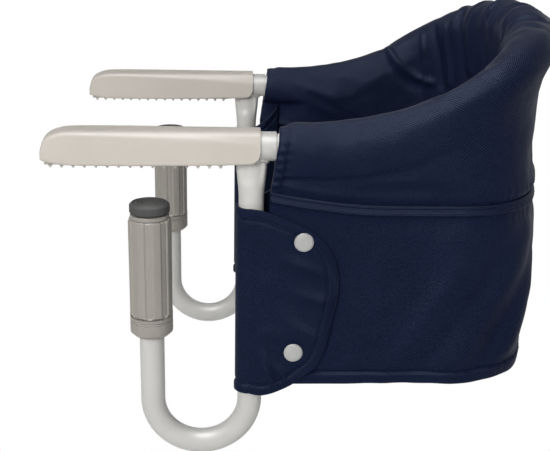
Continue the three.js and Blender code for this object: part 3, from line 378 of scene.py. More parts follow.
class Finish:
    def __init__(self, name, **shader):
        self.material = bpy.data.materials.new(name)
        self.material.use_nodes = True
        self.tree = self.material.node_tree
        self.shader = self.tree.nodes["Principled BSDF"]
        for key, value in shader.items():
            self.link(key.replace("_", " "), value)

    def link(self, name, value):
        feed(self.tree, self.shader.inputs[name], value)

    def node(self, kind, settings=None, inputs=None, output=0):
        return addNode(self.tree, kind, settings, inputs).outputs[output]

    def place(self):
        return self.node("ShaderNodeTexCoord", output="Object")

    def cloth(self):  # the piece's own map, in metres along and across the cloth
        return self.node("ShaderNodeUVMap", {"uv_map": "weave"})

    def noise(self, vector, scale, detail=2.0, roughness=0.5, stretch=None):
        if stretch:
            vector = self.node("ShaderNodeMapping", None, {"Vector": vector, "Scale": stretch})
        inputs = {"Vector": vector, "Scale": scale, "Detail": detail, "Roughness": roughness}
        return Value(self, self.node("ShaderNodeTexNoise", None, inputs))

    def ramp(self, value, low, high):
        stops = {"stops": [(low, 0.0), (high, 1.0)]}
        return Value(self, self.node("ShaderNodeValToRGB", stops, {0: value}))

    def colour(self, share, tone, shade):
        inputs = {0: share, 6: (*tone, 1), 7: (*shade, 1)}
        self.link("Base Color", self.node("ShaderNodeMix", {"data_type": "RGBA"}, inputs, 2))

    def bump(self, height, strength, distance):
        inputs = {"Height": height, "Strength": strength, "Distance": distance}
        self.link("Normal", self.node("ShaderNodeBump", None, inputs))


def paintFinish():  # powder coat: fine peel, slightly uneven gloss
    finish = Finish("powderCoat", Roughness=0.5, Specular_IOR_Level=0.17)
    where = finish.place()
    worn = finish.ramp(finish.noise(where, 14, 3), 0.35, 0.75) * 0.35
    finish.colour(worn, (0.52, 0.51, 0.485), (0.44, 0.43, 0.405))
    finish.link("Roughness", finish.noise(where, 60, 3) * 0.14 + 0.41)
    finish.bump(finish.noise(where, 900, 2), 0.12, 0.0006)
    return finish.material


def mouldedFinish(name, tone, shade, rough, grain=1500, depth=0.1):
    finish = Finish(name, Roughness=rough, Specular_IOR_Level=0.09)
    where = finish.place()
    finish.colour(finish.ramp(finish.noise(where, 18, 4), 0.35, 0.7) * 0.45, tone, shade)
    finish.link("Roughness", finish.noise(where, 90, 3) * 0.16 + (rough - 0.08))
    finish.bump(finish.noise(where, grain, 3, 0.6) + finish.noise(where, 220, 2) * 0.5, depth, 0.0005)
    return finish.material


weave = {"pitch": 0.0023, "depth": 0.00050, "slub": 0.35}


def clothFinish(name, dark, light, rough=0.6, pitch=weave["pitch"], ribbed=False):
    # Plain weave on the piece's own map: threads over and under, uneven yarn, specks painted lighter as
    # glints, slight wear.
    finish = Finish(name, Roughness=rough, Specular_IOR_Level=0.036, Specular_Tint=(0.62, 0.74, 1.0, 1))
    where = finish.cloth()
    turns = tau / pitch
    parts = addNode(finish.tree, "ShaderNodeSeparateXYZ", None, {0: where}).outputs
    along, across = Value(finish, parts[0]), Value(finish, parts[1])
    weft = (across * turns).maths("SINE")
    if ribbed:
        threads = (along * turns + across * (turns * 0.6)).maths("SINE").maths("MAXIMUM", weft * 0.6)
    else:
        threads = (along * turns).maths("SINE") * weft
    yarn = finish.noise(where, 1, 2, 0.6, (90, 1100, 1)) + finish.noise(where, 1, 2, 0.6, (1100, 90, 1))
    broad = finish.noise(finish.place(), 9, 4, 0.6)
    # Specks: in the colour they are painted glints, lighter flecks on the threads; in the bump they are
    # small raised flecks that catch the lamps.
    glintSpeck = finish.noise(where, 1, 2, 0.7, (380, 380, 1))
    patch = finish.ramp(finish.noise(where, 26, 2), 0.3, 0.7)
    tone = threads * (patch * 0.55 + 0.25) + yarn * 0.35 + glintSpeck * 0.7 + broad * 0.4 - 0.47
    finish.colour(tone.maths("MAXIMUM", 0.0).maths("MINIMUM", 1.0), dark, light)
    finish.bump(threads * 0.55 + yarn * weave["slub"] + glintSpeck * 0.8, 0.6, weave["depth"])
    return finish.material


def metalFinish():  # plated steel with fine turning marks
    finish = Finish("platedSteel", Metallic=1.0, Roughness=0.34)
    where = finish.place()
    lines = finish.noise(where, 1, 3, 0.6, (120, 120, 2600))
    finish.colour(finish.noise(where, 30, 3), (0.6, 0.6, 0.59), (0.48, 0.48, 0.47))
    finish.link("Roughness", lines * 0.2 + 0.24)
    finish.bump(lines, 0.08, 0.0003)
    return finish.material


finishes = {
    "paint": paintFinish(),
    "steel": metalFinish(),
    "pad": mouldedFinish("padPlastic", (0.53, 0.488, 0.435), (0.47, 0.432, 0.385), 0.5),
    # The grip's darker greige is partly the plastic's own colour and partly painted shade for a table top's
    # shadow over the sleeve; the collar, bushes and foot carrier share it.
    "grip": mouldedFinish("gripPlastic", (0.305, 0.285, 0.254), (0.26, 0.242, 0.214), 0.46),
    "teeth": mouldedFinish("gripRubber", (0.50, 0.47, 0.42), (0.36, 0.34, 0.31), 0.75, 700, 0.2),
    "foot": mouldedFinish("footRubber", (0.075, 0.074, 0.072), (0.045, 0.045, 0.045), 0.8, 900, 0.25),
    "snap": mouldedFinish("snapPlastic", (0.40, 0.40, 0.39), (0.35, 0.35, 0.34), 0.4, 900, 0.06),
    "buckle": mouldedFinish("bucklePlastic", (0.022, 0.022, 0.024), (0.014, 0.014, 0.015), 0.45),
    "board": mouldedFinish("boardPlastic", (0.05, 0.052, 0.056), (0.035, 0.036, 0.04), 0.6),
    "fabric": clothFinish("tubFabric", (0.0003, 0.0016, 0.0105), (0.0136, 0.0208, 0.0510), 0.52),
    "trim": clothFinish("trimFabric", (0.0008, 0.0024, 0.0115), (0.0130, 0.0200, 0.0480), 0.5, 0.0017),
    "web": clothFinish("webbing", (0.0022, 0.0040, 0.0110), (0.0095, 0.0140, 0.0300), 0.6, 0.0021, True),
    "thread": clothFinish("sewingThread", (0.0120, 0.0175, 0.0370), (0.0300, 0.0410, 0.0780), 0.6, 0.0006),
}
print("materials made")


# Loop: the bent tube's axis, which the fabric follows.
loop = {
    "span": 0.310, "height": 0.017,
    "riseCorner": 0.131, "riseRadius": 0.250, "riseAngle": radians(32),
    "backReach": 0.276, "cornerRadius": 0.080, "cornerTurn": radians(65),
    "spacing": 0.0025,
}


def loopLine(front):
    half, turn, level = loop["span"] / 2, loop["cornerTurn"], loop["height"]
    sideRun = half / sin(turn)
    crownTurn = pi - 2 * turn
    crownRadius = (sideRun - loop["cornerRadius"] * tan(turn / 2)) / tan(crownTurn / 2)
    crownCut = crownRadius * (1 / cos(crownTurn / 2) - 1)
    slopeRun = (loop["backReach"] - loop["riseCorner"]) / cos(loop["riseAngle"])
    cornerRun = slopeRun - sideRun * cos(turn) + crownCut

    def onSlope(run, y):
        x = loop["riseCorner"] + run * cos(loop["riseAngle"])
        return (x, y, level + run * sin(loop["riseAngle"]))

    corners = [(front, -half, level), onSlope(0, -half), onSlope(cornerRun, -half)]
    corners += [onSlope(slopeRun + crownCut, 0)]
    corners += [onSlope(cornerRun, half), onSlope(0, half), (front, half, level)]
    outer = [loop["riseRadius"], loop["cornerRadius"]]
    return bentLine(corners, [*outer, crownRadius, *outer[::-1]], loop["spacing"])


tub = {
    "hemX": 0.0358, "hemSlope": 0.14, "hemCalm": 0.05,
    "waist": -0.037, "waistRise": 0.012, "waistRiseLength": 0.100,
    "wallSide": 0.011, "wallBack": 0.016,
    "puckers": 0.0085, "hemInset": 0.0085,
}


def waistAt(x):
    ahead = np.clip(1 - (x - tub["hemX"]) / tub["waistRiseLength"], 0, 1)
    return tub["waist"] + tub["waistRise"] * ahead * ahead


# At each station of the loop: its place, the way outwards, how far back it faces, the wall and the waist.
axisLine = loopLine(tub["hemX"])
axisRun = runLength(axisLine)
planTangent = unit(np.gradient(axisLine, axis=0)[:, :2])
axisOut = together(planTangent[:, 1], -planTangent[:, 0], 0)
backShare = planTangent[:, 1] ** 2
fromHem = np.minimum(axisRun, axisRun[-1] - axisRun)
faceLine = mix(tub["wallSide"], tub["wallBack"], backShare)
waistLine = waistAt(axisLine[:, 0])


def putFabric(reach, height):  # cloth at each station, by its distance outwards and its height
    lowest = np.maximum(height, waistAt(tub["hemX"]))
    calm = (1 - smoothStep(0, tub["hemCalm"], fromHem))[:, None]
    lean = tub["hemSlope"] * (lowest - loop["height"]) * calm
    points = axisLine[:, None] + together(lean, 0, 0) + axisOut[:, None] * reach[..., None]
    points[..., 2] = height
    return points


def pucker(run, spacing, seed):  # cloth drawn up unevenly along a seam
    drift = noiseAt(together(run, 0, 0), 0.02, seed)
    return np.sin(run * tau / spacing + 3 * drift) * (0.6 + 0.8 * np.abs(drift))


def hemFold(distance, width, rise, groove):  # a turned hem: raised strip with a sewn line inside it
    strip = rise * (1 - smoothStep(width * 0.9, width * 1.1, distance))
    return strip - groove * bell(distance - width, 0.0017)


# Padded roll and upper wall.
bolster = {
    "topSide": 0.0205, "topBack": 0.0215, "inSide": 0.016, "inBack": 0.020,
    "outSide": 0.0165, "outBack": 0.025, "sagBack": 0.007, "dipBack": 0.0085,
    "wall": 0.010, "foot": 0.014, "fillStart": 0.054, "fillEnd": 0.086,
    "bulge": 0.0024, "tuck": 0.0048, "samples": 120,
    "pressure": 2.2, "bending": 1.5, "mostMove": 0.003,
    "rollShares": [(-1, -0.18), (-0.88, 0.46), (-0.5, 0.88), (0, 1), (0.52, 0.87), (0.88, 0.45)],
}


def bolsterSections():  # distance outwards and height of the closed outline at each station
    size = bolster
    top, into, out = (mix(size[f"{k}Side"], size[f"{k}Back"], backShare) for k in ("top", "in", "out"))
    sag, dip = size["sagBack"] * backShare, size["dipBack"] * backShare
    z, bottom = axisLine[:, 2], waistLine
    blunt = 1 - 0.2 * (1 - smoothStep(0, 0.012, fromHem))  # the roll is drawn in at its sewn ends
    under = z - size["topSide"] - 0.0015
    rollLow, rollIn = z - 0.72 * top * blunt, -0.92 * into
    # Behind the flaps the inner cloth falls straight from the roll to the seam.
    filled = smoothStep(size["fillStart"], size["fillEnd"], axisLine[:, 0])
    foot = faceLine - mix(size["wall"], size["foot"], filled)

    def inner(height):
        straight = mix(rollIn, foot, (rollLow - height) / (rollLow - bottom))
        return mix(faceLine - size["wall"], straight, filled), height

    controls = [inner(mix(bottom, rollLow, share)) for share in (0, 0.2, 0.4, 0.6, 0.8)]
    controls.append((mix(-0.74 * into, rollIn, filled), rollLow))
    for reach, height in size["rollShares"]:
        controls.append((reach * (into if reach < 0 else out), z + height * top * blunt))
    controls.append((out, z - sag))
    controls.append(((out + faceLine) / 2 + 0.001 - dip * 0.6, under - sag))
    for share in (0.25, 0.5, 0.75, 1):
        reach = faceLine - dip * (1 - share) ** 0.5 + mix((out - faceLine) * 0.3, size["bulge"], share)
        controls.append((reach, mix(under - sag, bottom + size["tuck"] * 2.4, share)))
    controls += [(faceLine - 0.0004, bottom + size["tuck"]), (faceLine - 0.0006, bottom)]
    outlines = np.stack([together(*c) for c in controls], axis=1)
    basis = curveBasis(len(controls), size["samples"] * 4, True)
    fine = np.einsum("sk,nkd->nsd", basis, outlines)
    fine[..., 1] = np.maximum(fine[..., 1], bottom[:, None])
    return np.moveaxis([evenRing(ring, size["samples"]) for ring in fine], -1, 0)


gathers = {"start": 0.215, "end": 0.520, "least": 0.006, "most": 0.015, "height": 0.0030, "seed": 11}
# Folds of the inner cloth, each a line of places (distance along the loop from its far hem, height),
# with half width and height. The near wall has the same ones, turned round and a little shifted.
innerFolds = [
    ([(0.143, 0.062), (0.155, 0.049), (0.169, 0.039), (0.187, 0.031), (0.212, 0.027)], 0.0042, 0.0034),
    ([(0.131, 0.060), (0.146, 0.040), (0.166, 0.026), (0.190, 0.019)], 0.0060, -0.0016),
    ([(0.192, 0.078), (0.199, 0.052), (0.203, 0.020), (0.204, -0.015)], 0.0034, 0.0032),
    ([(0.214, 0.086), (0.222, 0.060), (0.228, 0.025)], 0.0066, -0.0036),
    ([(0.238, 0.094), (0.243, 0.066), (0.246, 0.030)], 0.0046, 0.0036),
    ([(0.262, 0.106), (0.272, 0.074), (0.276, 0.040)], 0.0085, -0.0042),
    ([(0.300, 0.112), (0.296, 0.085), (0.290, 0.050)], 0.0052, 0.0032),
    ([(0.332, 0.114), (0.328, 0.084), (0.330, 0.050)], 0.0060, -0.0026),
    ([(0.352, 0.116), (0.358, 0.088), (0.356, 0.050)], 0.0050, 0.0028),
]


def foldAlong(run, height, line, width, rise):  # one soft fold that follows a line on the cloth
    line = smoothLine(line, 24)
    away = np.full(run.shape, 1.0)
    for start, step in zip(line, np.diff(line, axis=0)):
        dx, dz = run - start[0], height - start[1]
        share = np.clip((dx * step[0] + dz * step[1]) / (step @ step), 0, 1)
        away = np.minimum(away, np.hypot(dx - share * step[0], dz - share * step[1]))
    return rise * bell(away, width)


def bolsterFolds(grid, reach, height):
    run = np.broadcast_to(axisRun[:, None], reach.shape)
    total = axisRun[-1]
    roll = smoothStep(-0.004, 0.012, height - axisLine[:, None, 2])
    inside, outside = smoothStep(0.003, -0.007, reach), smoothStep(0.0, 0.006, reach)
    above = height - waistLine[:, None]
    amount = 0.0011 * noiseAt(grid, 0.045, 7.7) + 0.0005 * noiseAt(grid, 0.014, 1.3)
    # Gathers over the top of the back, uneven in place, width and height.
    draw = np.random.default_rng(gathers["seed"])
    place = gathers["start"]
    while place < gathers["end"]:
        width = draw.uniform(0.30, 0.45) * (gathers["most"] + gathers["least"]) / 2
        rise = gathers["height"] * draw.uniform(-0.7, 1.0)
        away = run - place - draw.uniform(-0.35, 0.35) * reach
        ends = smoothStep(0, 0.05, min(place - gathers["start"], gathers["end"] - place))
        amount += rise * ends * roll * bell(away, width) * smoothStep(0.024, 0.002, reach)
        place += draw.uniform(gathers["least"], gathers["most"])
    for line, width, rise in innerFolds:
        amount += inside * foldAlong(total - run, height, line, width, rise)
        near = inside * (1 - roll) * (run < total * 0.45)
        amount += near * foldAlong(run + 0.014, height, line, width * 1.1, rise * 0.9)
    amount += hemFold(fromHem, tub["hemInset"], 0.0013, 0.0019)[:, None] * outside
    amount += 0.0009 * pucker(height, 0.0075, 2.0) * outside * smoothStep(0.016, 0.006, fromHem)[:, None]
    amount += 0.0006 * pucker(run, tub["puckers"], 9.0) * outside * bell(above - 0.011, 0.006)
    return pushOut(grid, amount * smoothStep(0.0, 0.010, above))


def vertexPlaces(mesh):
    return np.array([v.co for v in mesh.vertices])


def swell(piece, size, pinned):
    # Air pressed into the cover: how far the cloth moves, held along its sewn edges.
    start = vertexPlaces(piece.data)
    held = piece.vertex_groups.new(name="sewn")
    held.add([int(i) for i in np.flatnonzero(pinned)], 1.0, "REPLACE")
    cloth = piece.modifiers.new("swell", "CLOTH")
    put(
        cloth.settings, quality=6, mass=0.2, tension_stiffness=12, compression_stiffness=12,
        bending_stiffness=size["bending"], use_pressure=True,
        uniform_pressure_force=size["pressure"], vertex_group_mass="sewn",
    )
    cloth.settings.effector_weights.gravity = 0
    cloth.collision_settings.use_collision = False
    for number in range(1, 21):
        scene.frame_set(number)
    graph = bpy.context.evaluated_depsgraph_get()
    step = vertexPlaces(piece.evaluated_get(graph).data) - start
    piece.modifiers.clear()
    piece.vertex_groups.clear()
    scene.frame_set(1)
    far = np.linalg.norm(step, axis=1)
    kept = np.minimum(far, size["mostMove"])
    print(piece.name, "swelled by", round(float(kept.max() * 1000), 1), "mm")
    return step * (kept / np.maximum(far, 1e-9))[:, None]


def betweenPoints(step, rows, columns):  # spreads what every second point moved over all of them
    step = np.concatenate([step, step[:, :1]], axis=1)
    for axis, count in ((0, rows), (1, columns)):
        known, wanted = np.arange(step.shape[axis]) * 2, np.arange(count)
        step = np.apply_along_axis(lambda values: np.interp(wanted, known, values), axis, step)
    return step


def addBolster():
    reach, height = bolsterSections()
    grid = bolsterFolds(putFabric(reach, height), reach, height)
    few = grid[::2, ::2]
    count = few[..., 0].size
    coarse = gridPiece("bolsterCloth", few, "fabric", None)
    sewn = (height < waistLine[:, None] + bolster["tuck"] * 2) | (fromHem < 0.010)[:, None]
    pinned = np.ones(len(coarse.data.vertices), bool)
    pinned[:count] = sewn[::2, ::2].ravel()
    step = swell(coarse, bolster, pinned)[:count].reshape(few.shape)
    bpy.data.objects.remove(coarse)
    piece = gridPiece("bolsterCover", grid + betweenPoints(step, *reach.shape), "fabric")
    return piece


# Lower wall of the seat.
skirt = {
    "bottom": -0.200, "thickness": 0.005,
    "bulgeSide": 0.0022, "bulgeBack": 0.006,
    "bulgeShares": [(0, 0), (0.06, 0), (0.16, 0.9), (0.42, 1), (0.75, 0.8), (1, 0.35)],
    "flapEnd": 0.091, "foldLength": 0.074, "foldHeight": 0.0014,
    "rows": 46, "hemRows": 26, "hemShare": 0.86, "hem": 0.0105, "edgeShares": (0.35, 0.65),
    "slants": [  # broad folds: place at the hem, slope, half width, height
        (0.098, 0.62, 0.012, 0.0022), (0.128, 0.70, 0.010, -0.0018), (0.160, 0.60, 0.013, 0.0028),
        (0.188, 0.55, 0.009, -0.0022), (0.212, 0.50, 0.012, 0.0030), (0.245, 0.50, 0.010, -0.0020),
        (0.300, 0.10, 0.014, 0.0016),
    ],
}


def skirtSections():  # outer face from the waist down, lower edge and inner face up again
    size, share = skirt, skirt["hemShare"]
    upper = np.linspace(0, share, size["rows"], endpoint=False)
    drops = np.concatenate([upper, np.linspace(share, 1, size["hemRows"])])
    bulges = np.interp(drops, *zip(*size["bulgeShares"]))
    bulges = np.convolve(np.pad(bulges, 3, mode="edge"), np.ones(7) / 7, mode="valid")
    full = mix(size["bulgeSide"], size["bulgeBack"], backShare)
    free = smoothStep(size["flapEnd"], size["flapEnd"] + size["foldLength"], axisLine[:, 0])
    fold = size["foldHeight"] * np.sin(tau * axisRun / size["foldLength"])
    top = waistLine - 0.0003
    reach = faceLine[:, None] + bulges * (free * (full + fold))[:, None]
    height = top[:, None] + drops * (size["bottom"] - top)[:, None]
    edge = reach[:, -1:] - np.array(size["edgeShares"]) * size["thickness"]
    reach = np.concatenate([reach, edge, reach[:, ::-1] - size["thickness"]], axis=1)
    return reach, np.concatenate([height, height[:, [-1, -1]] - 0.0008, height[:, ::-1]], axis=1)


def skirtFolds(grid, height):
    run = np.broadcast_to(axisRun[:, None], height.shape)
    depth, below = height - skirt["bottom"], waistLine[:, None] - height
    outer = np.arange(height.shape[1]) < skirt["rows"] + skirt["hemRows"]
    free = smoothStep(skirt["flapEnd"] - 0.01, skirt["flapEnd"] + 0.05, axisLine[:, 0])[:, None]
    amount = 0.0022 * noiseAt(grid * (1, 1, 0.6), 0.055, 5.0) + 0.0006 * noiseAt(grid, 0.018, 2.0)
    # Broad slanted folds towards the lower back corners, and small puckers under the waist seam.
    fade = smoothStep(0.0, 0.03, depth) * smoothStep(0.16, 0.08, depth)
    for start, slope, width, rise in skirt["slants"]:
        for place in (run, axisRun[-1] - run):
            amount += rise * bell(place - start - slope * depth, width) * fade
    amount += 0.0008 * pucker(run, tub["puckers"], 9.0) * bell(below - 0.008, 0.008)
    hem = hemFold(depth, skirt["hem"], 0.0010, 0.0019)
    hem += 0.0008 * pucker(run, 0.0078, 5.0) * bell(depth - skirt["hem"], 0.005)
    return pushOut(grid, (amount * free + hem) * outer * smoothStep(0.0, 0.012, below))


def addSkirt():
    reach, height = skirtSections()
    piece = gridPiece("seatSkirt", skirtFolds(putFabric(reach, height), height), "fabric")
    return piece


# Band over the waist seam.
band = {
    "height": 0.0092, "thickness": 0.0026, "samples": 36, "gap": 0.0004,
    "sectionShares": [
        (0, 0.47), (0.30, 0.49), (0.52, 0.38), (0.50, 0.26), (0.36, 0.20), (0.50, 0.12), (0.66, -0.02),
        (0.90, -0.16), (1, -0.30), (0.86, -0.44), (0.40, -0.50), (0, -0.47), (0, 0),
    ],
}


def addBand():
    out, up = smoothLine(band["sectionShares"], band["samples"], True).T
    proud = band["thickness"] * (1 + 0.12 * pucker(axisRun, tub["puckers"], 4.0))
    reach = faceLine[:, None] + band["gap"] + out * proud[:, None]
    return gridPiece("waistBand", putFabric(reach, waistLine[:, None] + up * band["height"]), "trim")


bolsterPiece = addBolster()
skirtPiece = addSkirt()
bandPiece = addBand()
print("tub made")


# Leg flaps: a cloth sheet round each leg, closed on the skirt by two snaps.
flap = {
    "thickness": 0.0022, "rootX": 0.050, "rootY": 0.1545, "rootTop": -0.006,
    "turnX": 0.034, "turnRadius": 0.010, "legX": 0.014, "legRadius": 0.011, "legGap": 0.0003,
    "faceY": 0.1663, "reach": 0.077, "top": -0.033, "height": 0.178,
    "rows": 90, "spacing": 0.0017, "hem": 0.0085, "tip": 0.0022,
    "foldX": 0.055, "folded": 0.45,
    "edgeShares": [  # reach and drop, along the upper edge to the tip and back along the lower one
        (-0.15, 0.01), (0.13, 0.024), (0.43, 0.073), (0.66, 0.12), (0.78, 0.16), (0.88, 0.21),
        (0.965, 0.28), (1, 0.36), (1, 0.45), (0.965, 0.54), (0.88, 0.72), (0.78, 0.83),
        (0.66, 0.882), (0.43, 0.955), (0.13, 1), (-0.15, 0.965),
    ],
    "creases": [  # place, slope, half width, height
        (0.030, -0.188, 0.5, 0.0032, 0.0051), (0.040, -0.186, 0.7, 0.0028, 0.0045),
        (0.035, -0.172, 0.2, 0.0040, -0.0018), (0.066, -0.150, 1.0, 0.0045, 0.0030),
        (0.073, -0.118, 1.3, 0.0055, 0.0027), (0.050, -0.142, 0.4, 0.0070, 0.0024),
        (0.062, -0.088, 1.2, 0.0050, 0.0027), (0.024, -0.150, 1.5, 0.0060, 0.0021),
        (0.020, -0.100, 1.4, 0.0070, 0.0018),
    ],
    "snaps": [(0.0596, -0.0645), (0.0525, -0.1685)],
}


def flapEdges():  # the outer leaf's upper and lower edge, both from the leg to the tip
    shares = smoothLine(flap["edgeShares"], 400)
    x = flap["legX"] + shares[:, 0] * flap["reach"]
    z = flap["top"] - shares[:, 1] * flap["height"]
    tip = int(np.argmax(x))
    halves = (x[: tip + 1], z[: tip + 1]), (x[tip:][::-1], z[tip:][::-1])
    return [together(np.maximum.accumulate(a), b) for a, b in halves]


upperEdge, lowerEdge = flapEdges()
flapOutline = np.concatenate([upperEdge, lowerEdge[::-1]])


def flapLine():  # the sheet in plan: from its root on the wall round the leg and along the skirt
    half = flap["thickness"] / 2
    wrap = flap["legRadius"] + flap["legGap"] + half
    face, end = flap["faceY"] + half, flap["legX"] + flap["reach"]
    ahead, inner = flap["legX"] - wrap, loop["span"] / 2 - wrap
    corners = [(flap["rootX"], flap["rootY"], 0), (flap["turnX"], inner, 0), (ahead, inner, 0)]
    corners += [(ahead, face, 0), (end, face, 0)]
    line = bentLine(corners, [flap["turnRadius"], wrap, wrap], flap["spacing"])
    keep = (line[:, 0] < end - flap["tip"]) | (line[:, 1] <= face - 1e-5)
    tip = [[end - flap["tip"] * (1 - k / 6) ** 2, face, 0] for k in range(1, 7)]
    return np.concatenate([line[keep], tip])


def foldFlap(piece):
    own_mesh(piece)


def addFlap(name, side):
    line = flapLine()
    x, run, half = line[:, 0], runLength(line), flap["thickness"] / 2
    outer = (line[:, 1] > flap["faceY"] + half - 1e-4) & (x > flap["legX"] - 0.001)
    rootShare = np.clip((x - 0.002) / (flap["rootX"] - 0.002), 0, 1)
    rootShare = rootShare * (np.arange(len(line)) < np.argmax(outer) * 0.62)
    legTop, legLow = (np.interp(flap["legX"], *edge.T) for edge in (upperEdge, lowerEdge))
    top = np.where(outer, np.interp(x, *upperEdge.T), mix(legTop, flap["rootTop"], rootShare**2))
    low = np.where(outer, np.interp(x, *lowerEdge.T), legLow + 0.002 * rootShare)
    z = top[:, None] + (low - top)[:, None] * (0.5 - 0.5 * np.cos(pi * np.linspace(0, 1, flap["rows"])))
    x = x[:, None]
    middle = together(x, line[:, 1:2], z)
    # Distance of each point from the nearest edge, for the turned hem.
    fromEdge = np.linalg.norm(together(x, z)[:, :, None] - flapOutline[::4], axis=3).min(axis=2)
    distance = np.where(outer[:, None], fromEdge, np.minimum(top[:, None] - z, z - low[:, None]))
    tangent = np.gradient(line, axis=0)
    across = unit(together(tangent[:, 1], -tangent[:, 0], 0))
    across *= np.sign(across[-1][1])
    loose = smoothStep(0.0, 0.014, distance) * outer[:, None]
    loose *= smoothStep(flap["legX"] + 0.004, flap["legX"] + 0.016, x)
    for snapX, snapZ in flap["snaps"]:
        loose *= smoothStep(0.007, 0.013, np.hypot(x - snapX, z - snapZ))
    folds = 0.0007 + 0.0010 * noiseAt(middle * (1, 1, 0.5), 0.030, 4.0 + side)
    for foldX, foldZ, slope, width, rise in flap["creases"]:
        dx, dz = x - foldX, z - foldZ
        away, along = dx * cos(slope) + dz * sin(slope), dz * cos(slope) - dx * sin(slope)
        folds += rise * bell(away, width) * bell(along, 0.022)
    bulge = np.maximum(folds, 0) * loose
    front = half + hemFold(distance, flap["hem"], 0.0009, 0.0014) + bulge
    leaves = [middle + across[:, None] * front[..., None]]
    leaves.append((middle - across[:, None] * (half - bulge * 0.6)[..., None])[:, ::-1])
    piece = gridPiece(f"{name}LegFlap", np.concatenate(leaves, axis=1) * (1, side, 1), "fabric")
    foldFlap(piece)
    return piece


flapPieces = {name: addFlap(name, side) for name, side in sides.items()}
print("flaps made")


# Snaps, turned from shares of their radius and height.
snap = {
    "Cap": {
        "radius": 0.0085, "height": 0.0032, "segments": 64, "fillet": 0.0007,
        "shares": [(0, 0), (1, 0), (1, 0.34), (0.93, 0.62), (0.80, 0.80), (0.5, 0.95), (0, 1)],
    },
    "Stud": {
        "radius": 0.006, "height": 0.0018, "segments": 48, "fillet": 0.0003,
        "shares": [(0, 0), (1, 0), (1, 0.5), (0.6, 1), (0.45, 0.6), (0, 0.55)],
    },
}


def addSnap(name, kind, way, x, z):
    size = snap[kind]
    low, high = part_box(nodeOf[name])
    profile = [(size["radius"] * a, size["height"] * b) for a, b in size["shares"]]
    place = (x, low.y if way > 0 else high.y, z)
    turnedPiece(name, profile, place, (0, way, 0), "snap", "seat", size["segments"], size["fillet"])


for name, side in sides.items():
    for level, place in zip(("Upper", "Lower"), flap["snaps"]):
        for kind, way in (("Cap", side), ("Stud", -side)):
            addSnap(f"{name}{level}Snap{kind}", kind, way, *place)
print("snaps made")


# Sewing: short threads along a line, each lying on the cloth.
stitch = {"spacing": 0.0034, "length": 0.0026, "radius": 0.00028, "step": 0.0017, "start": 0.002}


def geometryTree(name, **sockets):
    tree = bpy.data.node_groups.new(name, "GeometryNodeTree")
    for label, kind in {"Geometry": "Geometry", **sockets, "Material": "Material"}.items():
        tree.interface.new_socket(label, in_out="INPUT", socket_type=f"NodeSocket{kind}")
    tree.interface.new_socket("Geometry", in_out="OUTPUT", socket_type="NodeSocketGeometry")
    return tree, tree.nodes.new("NodeGroupInput").outputs


def closeTree(tree, given, instances):
    solid = addNode(tree, "GeometryNodeRealizeInstances", None, {0: instances}).outputs[0]
    inputs = {"Geometry": solid, "Material": given["Material"]}
    painted = addNode(tree, "GeometryNodeSetMaterial", None, inputs).outputs[0]
    addNode(tree, "NodeGroupOutput", None, {0: painted})
    return tree


def stitchTree():
    tree, given = geometryTree("sewnLine", Spacing="Float", Length="Float", Radius="Float")

    def add(kind, settings=None, **inputs):
        return addNode(tree, kind, settings, inputs).outputs[0]

    line = add("GeometryNodeMeshToCurve", Mesh=given["Geometry"])
    even = add("GeometryNodeResampleCurve", {"mode": "LENGTH"}, Curve=line, Length=given["Spacing"])
    tangent = add("GeometryNodeInputTangent")
    turn = add("FunctionNodeAlignRotationToVector", {"axis": "Z"}, Vector=tangent)
    inputs = {0: given["Length"], 1: 0.5}
    half = addNode(tree, "ShaderNodeMath", {"operation": "MULTIPLY"}, inputs).outputs[0]
    size = add("ShaderNodeCombineXYZ", X=given["Radius"], Y=given["Radius"], Z=half)
    bead = add("GeometryNodeMeshUVSphere", Segments=6, Rings=5, Radius=1.0)
    rows = add("GeometryNodeInstanceOnPoints", Points=even, Instance=bead, Rotation=turn, Scale=size)
    return closeTree(tree, given, rows)


sewnLine = stitchTree()


def sew(name, lines, cloth):
    # Lays each line on the cloth's surface, then runs the stitches along it.
    tree = BVHTree.FromObject(cloth, bpy.context.evaluated_depsgraph_get())
    points, edges = [], []
    for line in lines:
        start = len(points)
        for at in evenLine(line, stitch["step"]):
            place, normal, _, _ = tree.find_nearest(Vector(at))
            points.append(place + normal * stitch["radius"] * 0.4)
        edges += [(i, i + 1) for i in range(start, len(points) - 1)]
    mesh = bpy.data.meshes.new(name)
    mesh.from_pydata(points, edges, [])
    piece = addObject(name, mesh)
    grow(
        piece, sewnLine, Spacing=stitch["spacing"], Length=stitch["length"],
        Radius=stitch["radius"], Material=finishes["thread"],
    )
    return seat(piece, "seat")


def loopSeam(reach, height):
    reach, height = np.broadcast_arrays(reach[:, None], np.reshape(height, (-1, 1)))
    return putFabric(reach, height)[fromHem >= stitch["start"], 0]


seamReach = {"band": 0.004, "skirt": 0.006, "bandDrops": (0.0028, -0.0028)}
bandSeams = [loopSeam(faceLine + seamReach["band"], waistLine + drop) for drop in seamReach["bandDrops"]]
sew("waistStitching", bandSeams, bandPiece)
hemLevel = skirt["bottom"] + skirt["hem"]
sew("hemStitching", [loopSeam(faceLine + seamReach["skirt"], hemLevel)], skirtPiece)


def frontHemLine(run):
    at = int(np.argmin(np.abs(axisRun - run)))
    x, y, z = axisLine[at]
    heights = np.linspace(waistLine[at] + 0.006, z + 0.017, 24)
    lean = tub["hemSlope"] * (heights - loop["height"])
    reach = np.where(heights > loop["height"] + 0.008, 0.015, 0.020)
    return together(x + lean, y + axisOut[at, 1] * reach, heights)


hemRuns = tub["hemInset"], axisRun[-1] - tub["hemInset"]
sew("frontHemStitching", [frontHemLine(run) for run in hemRuns], bolsterPiece)


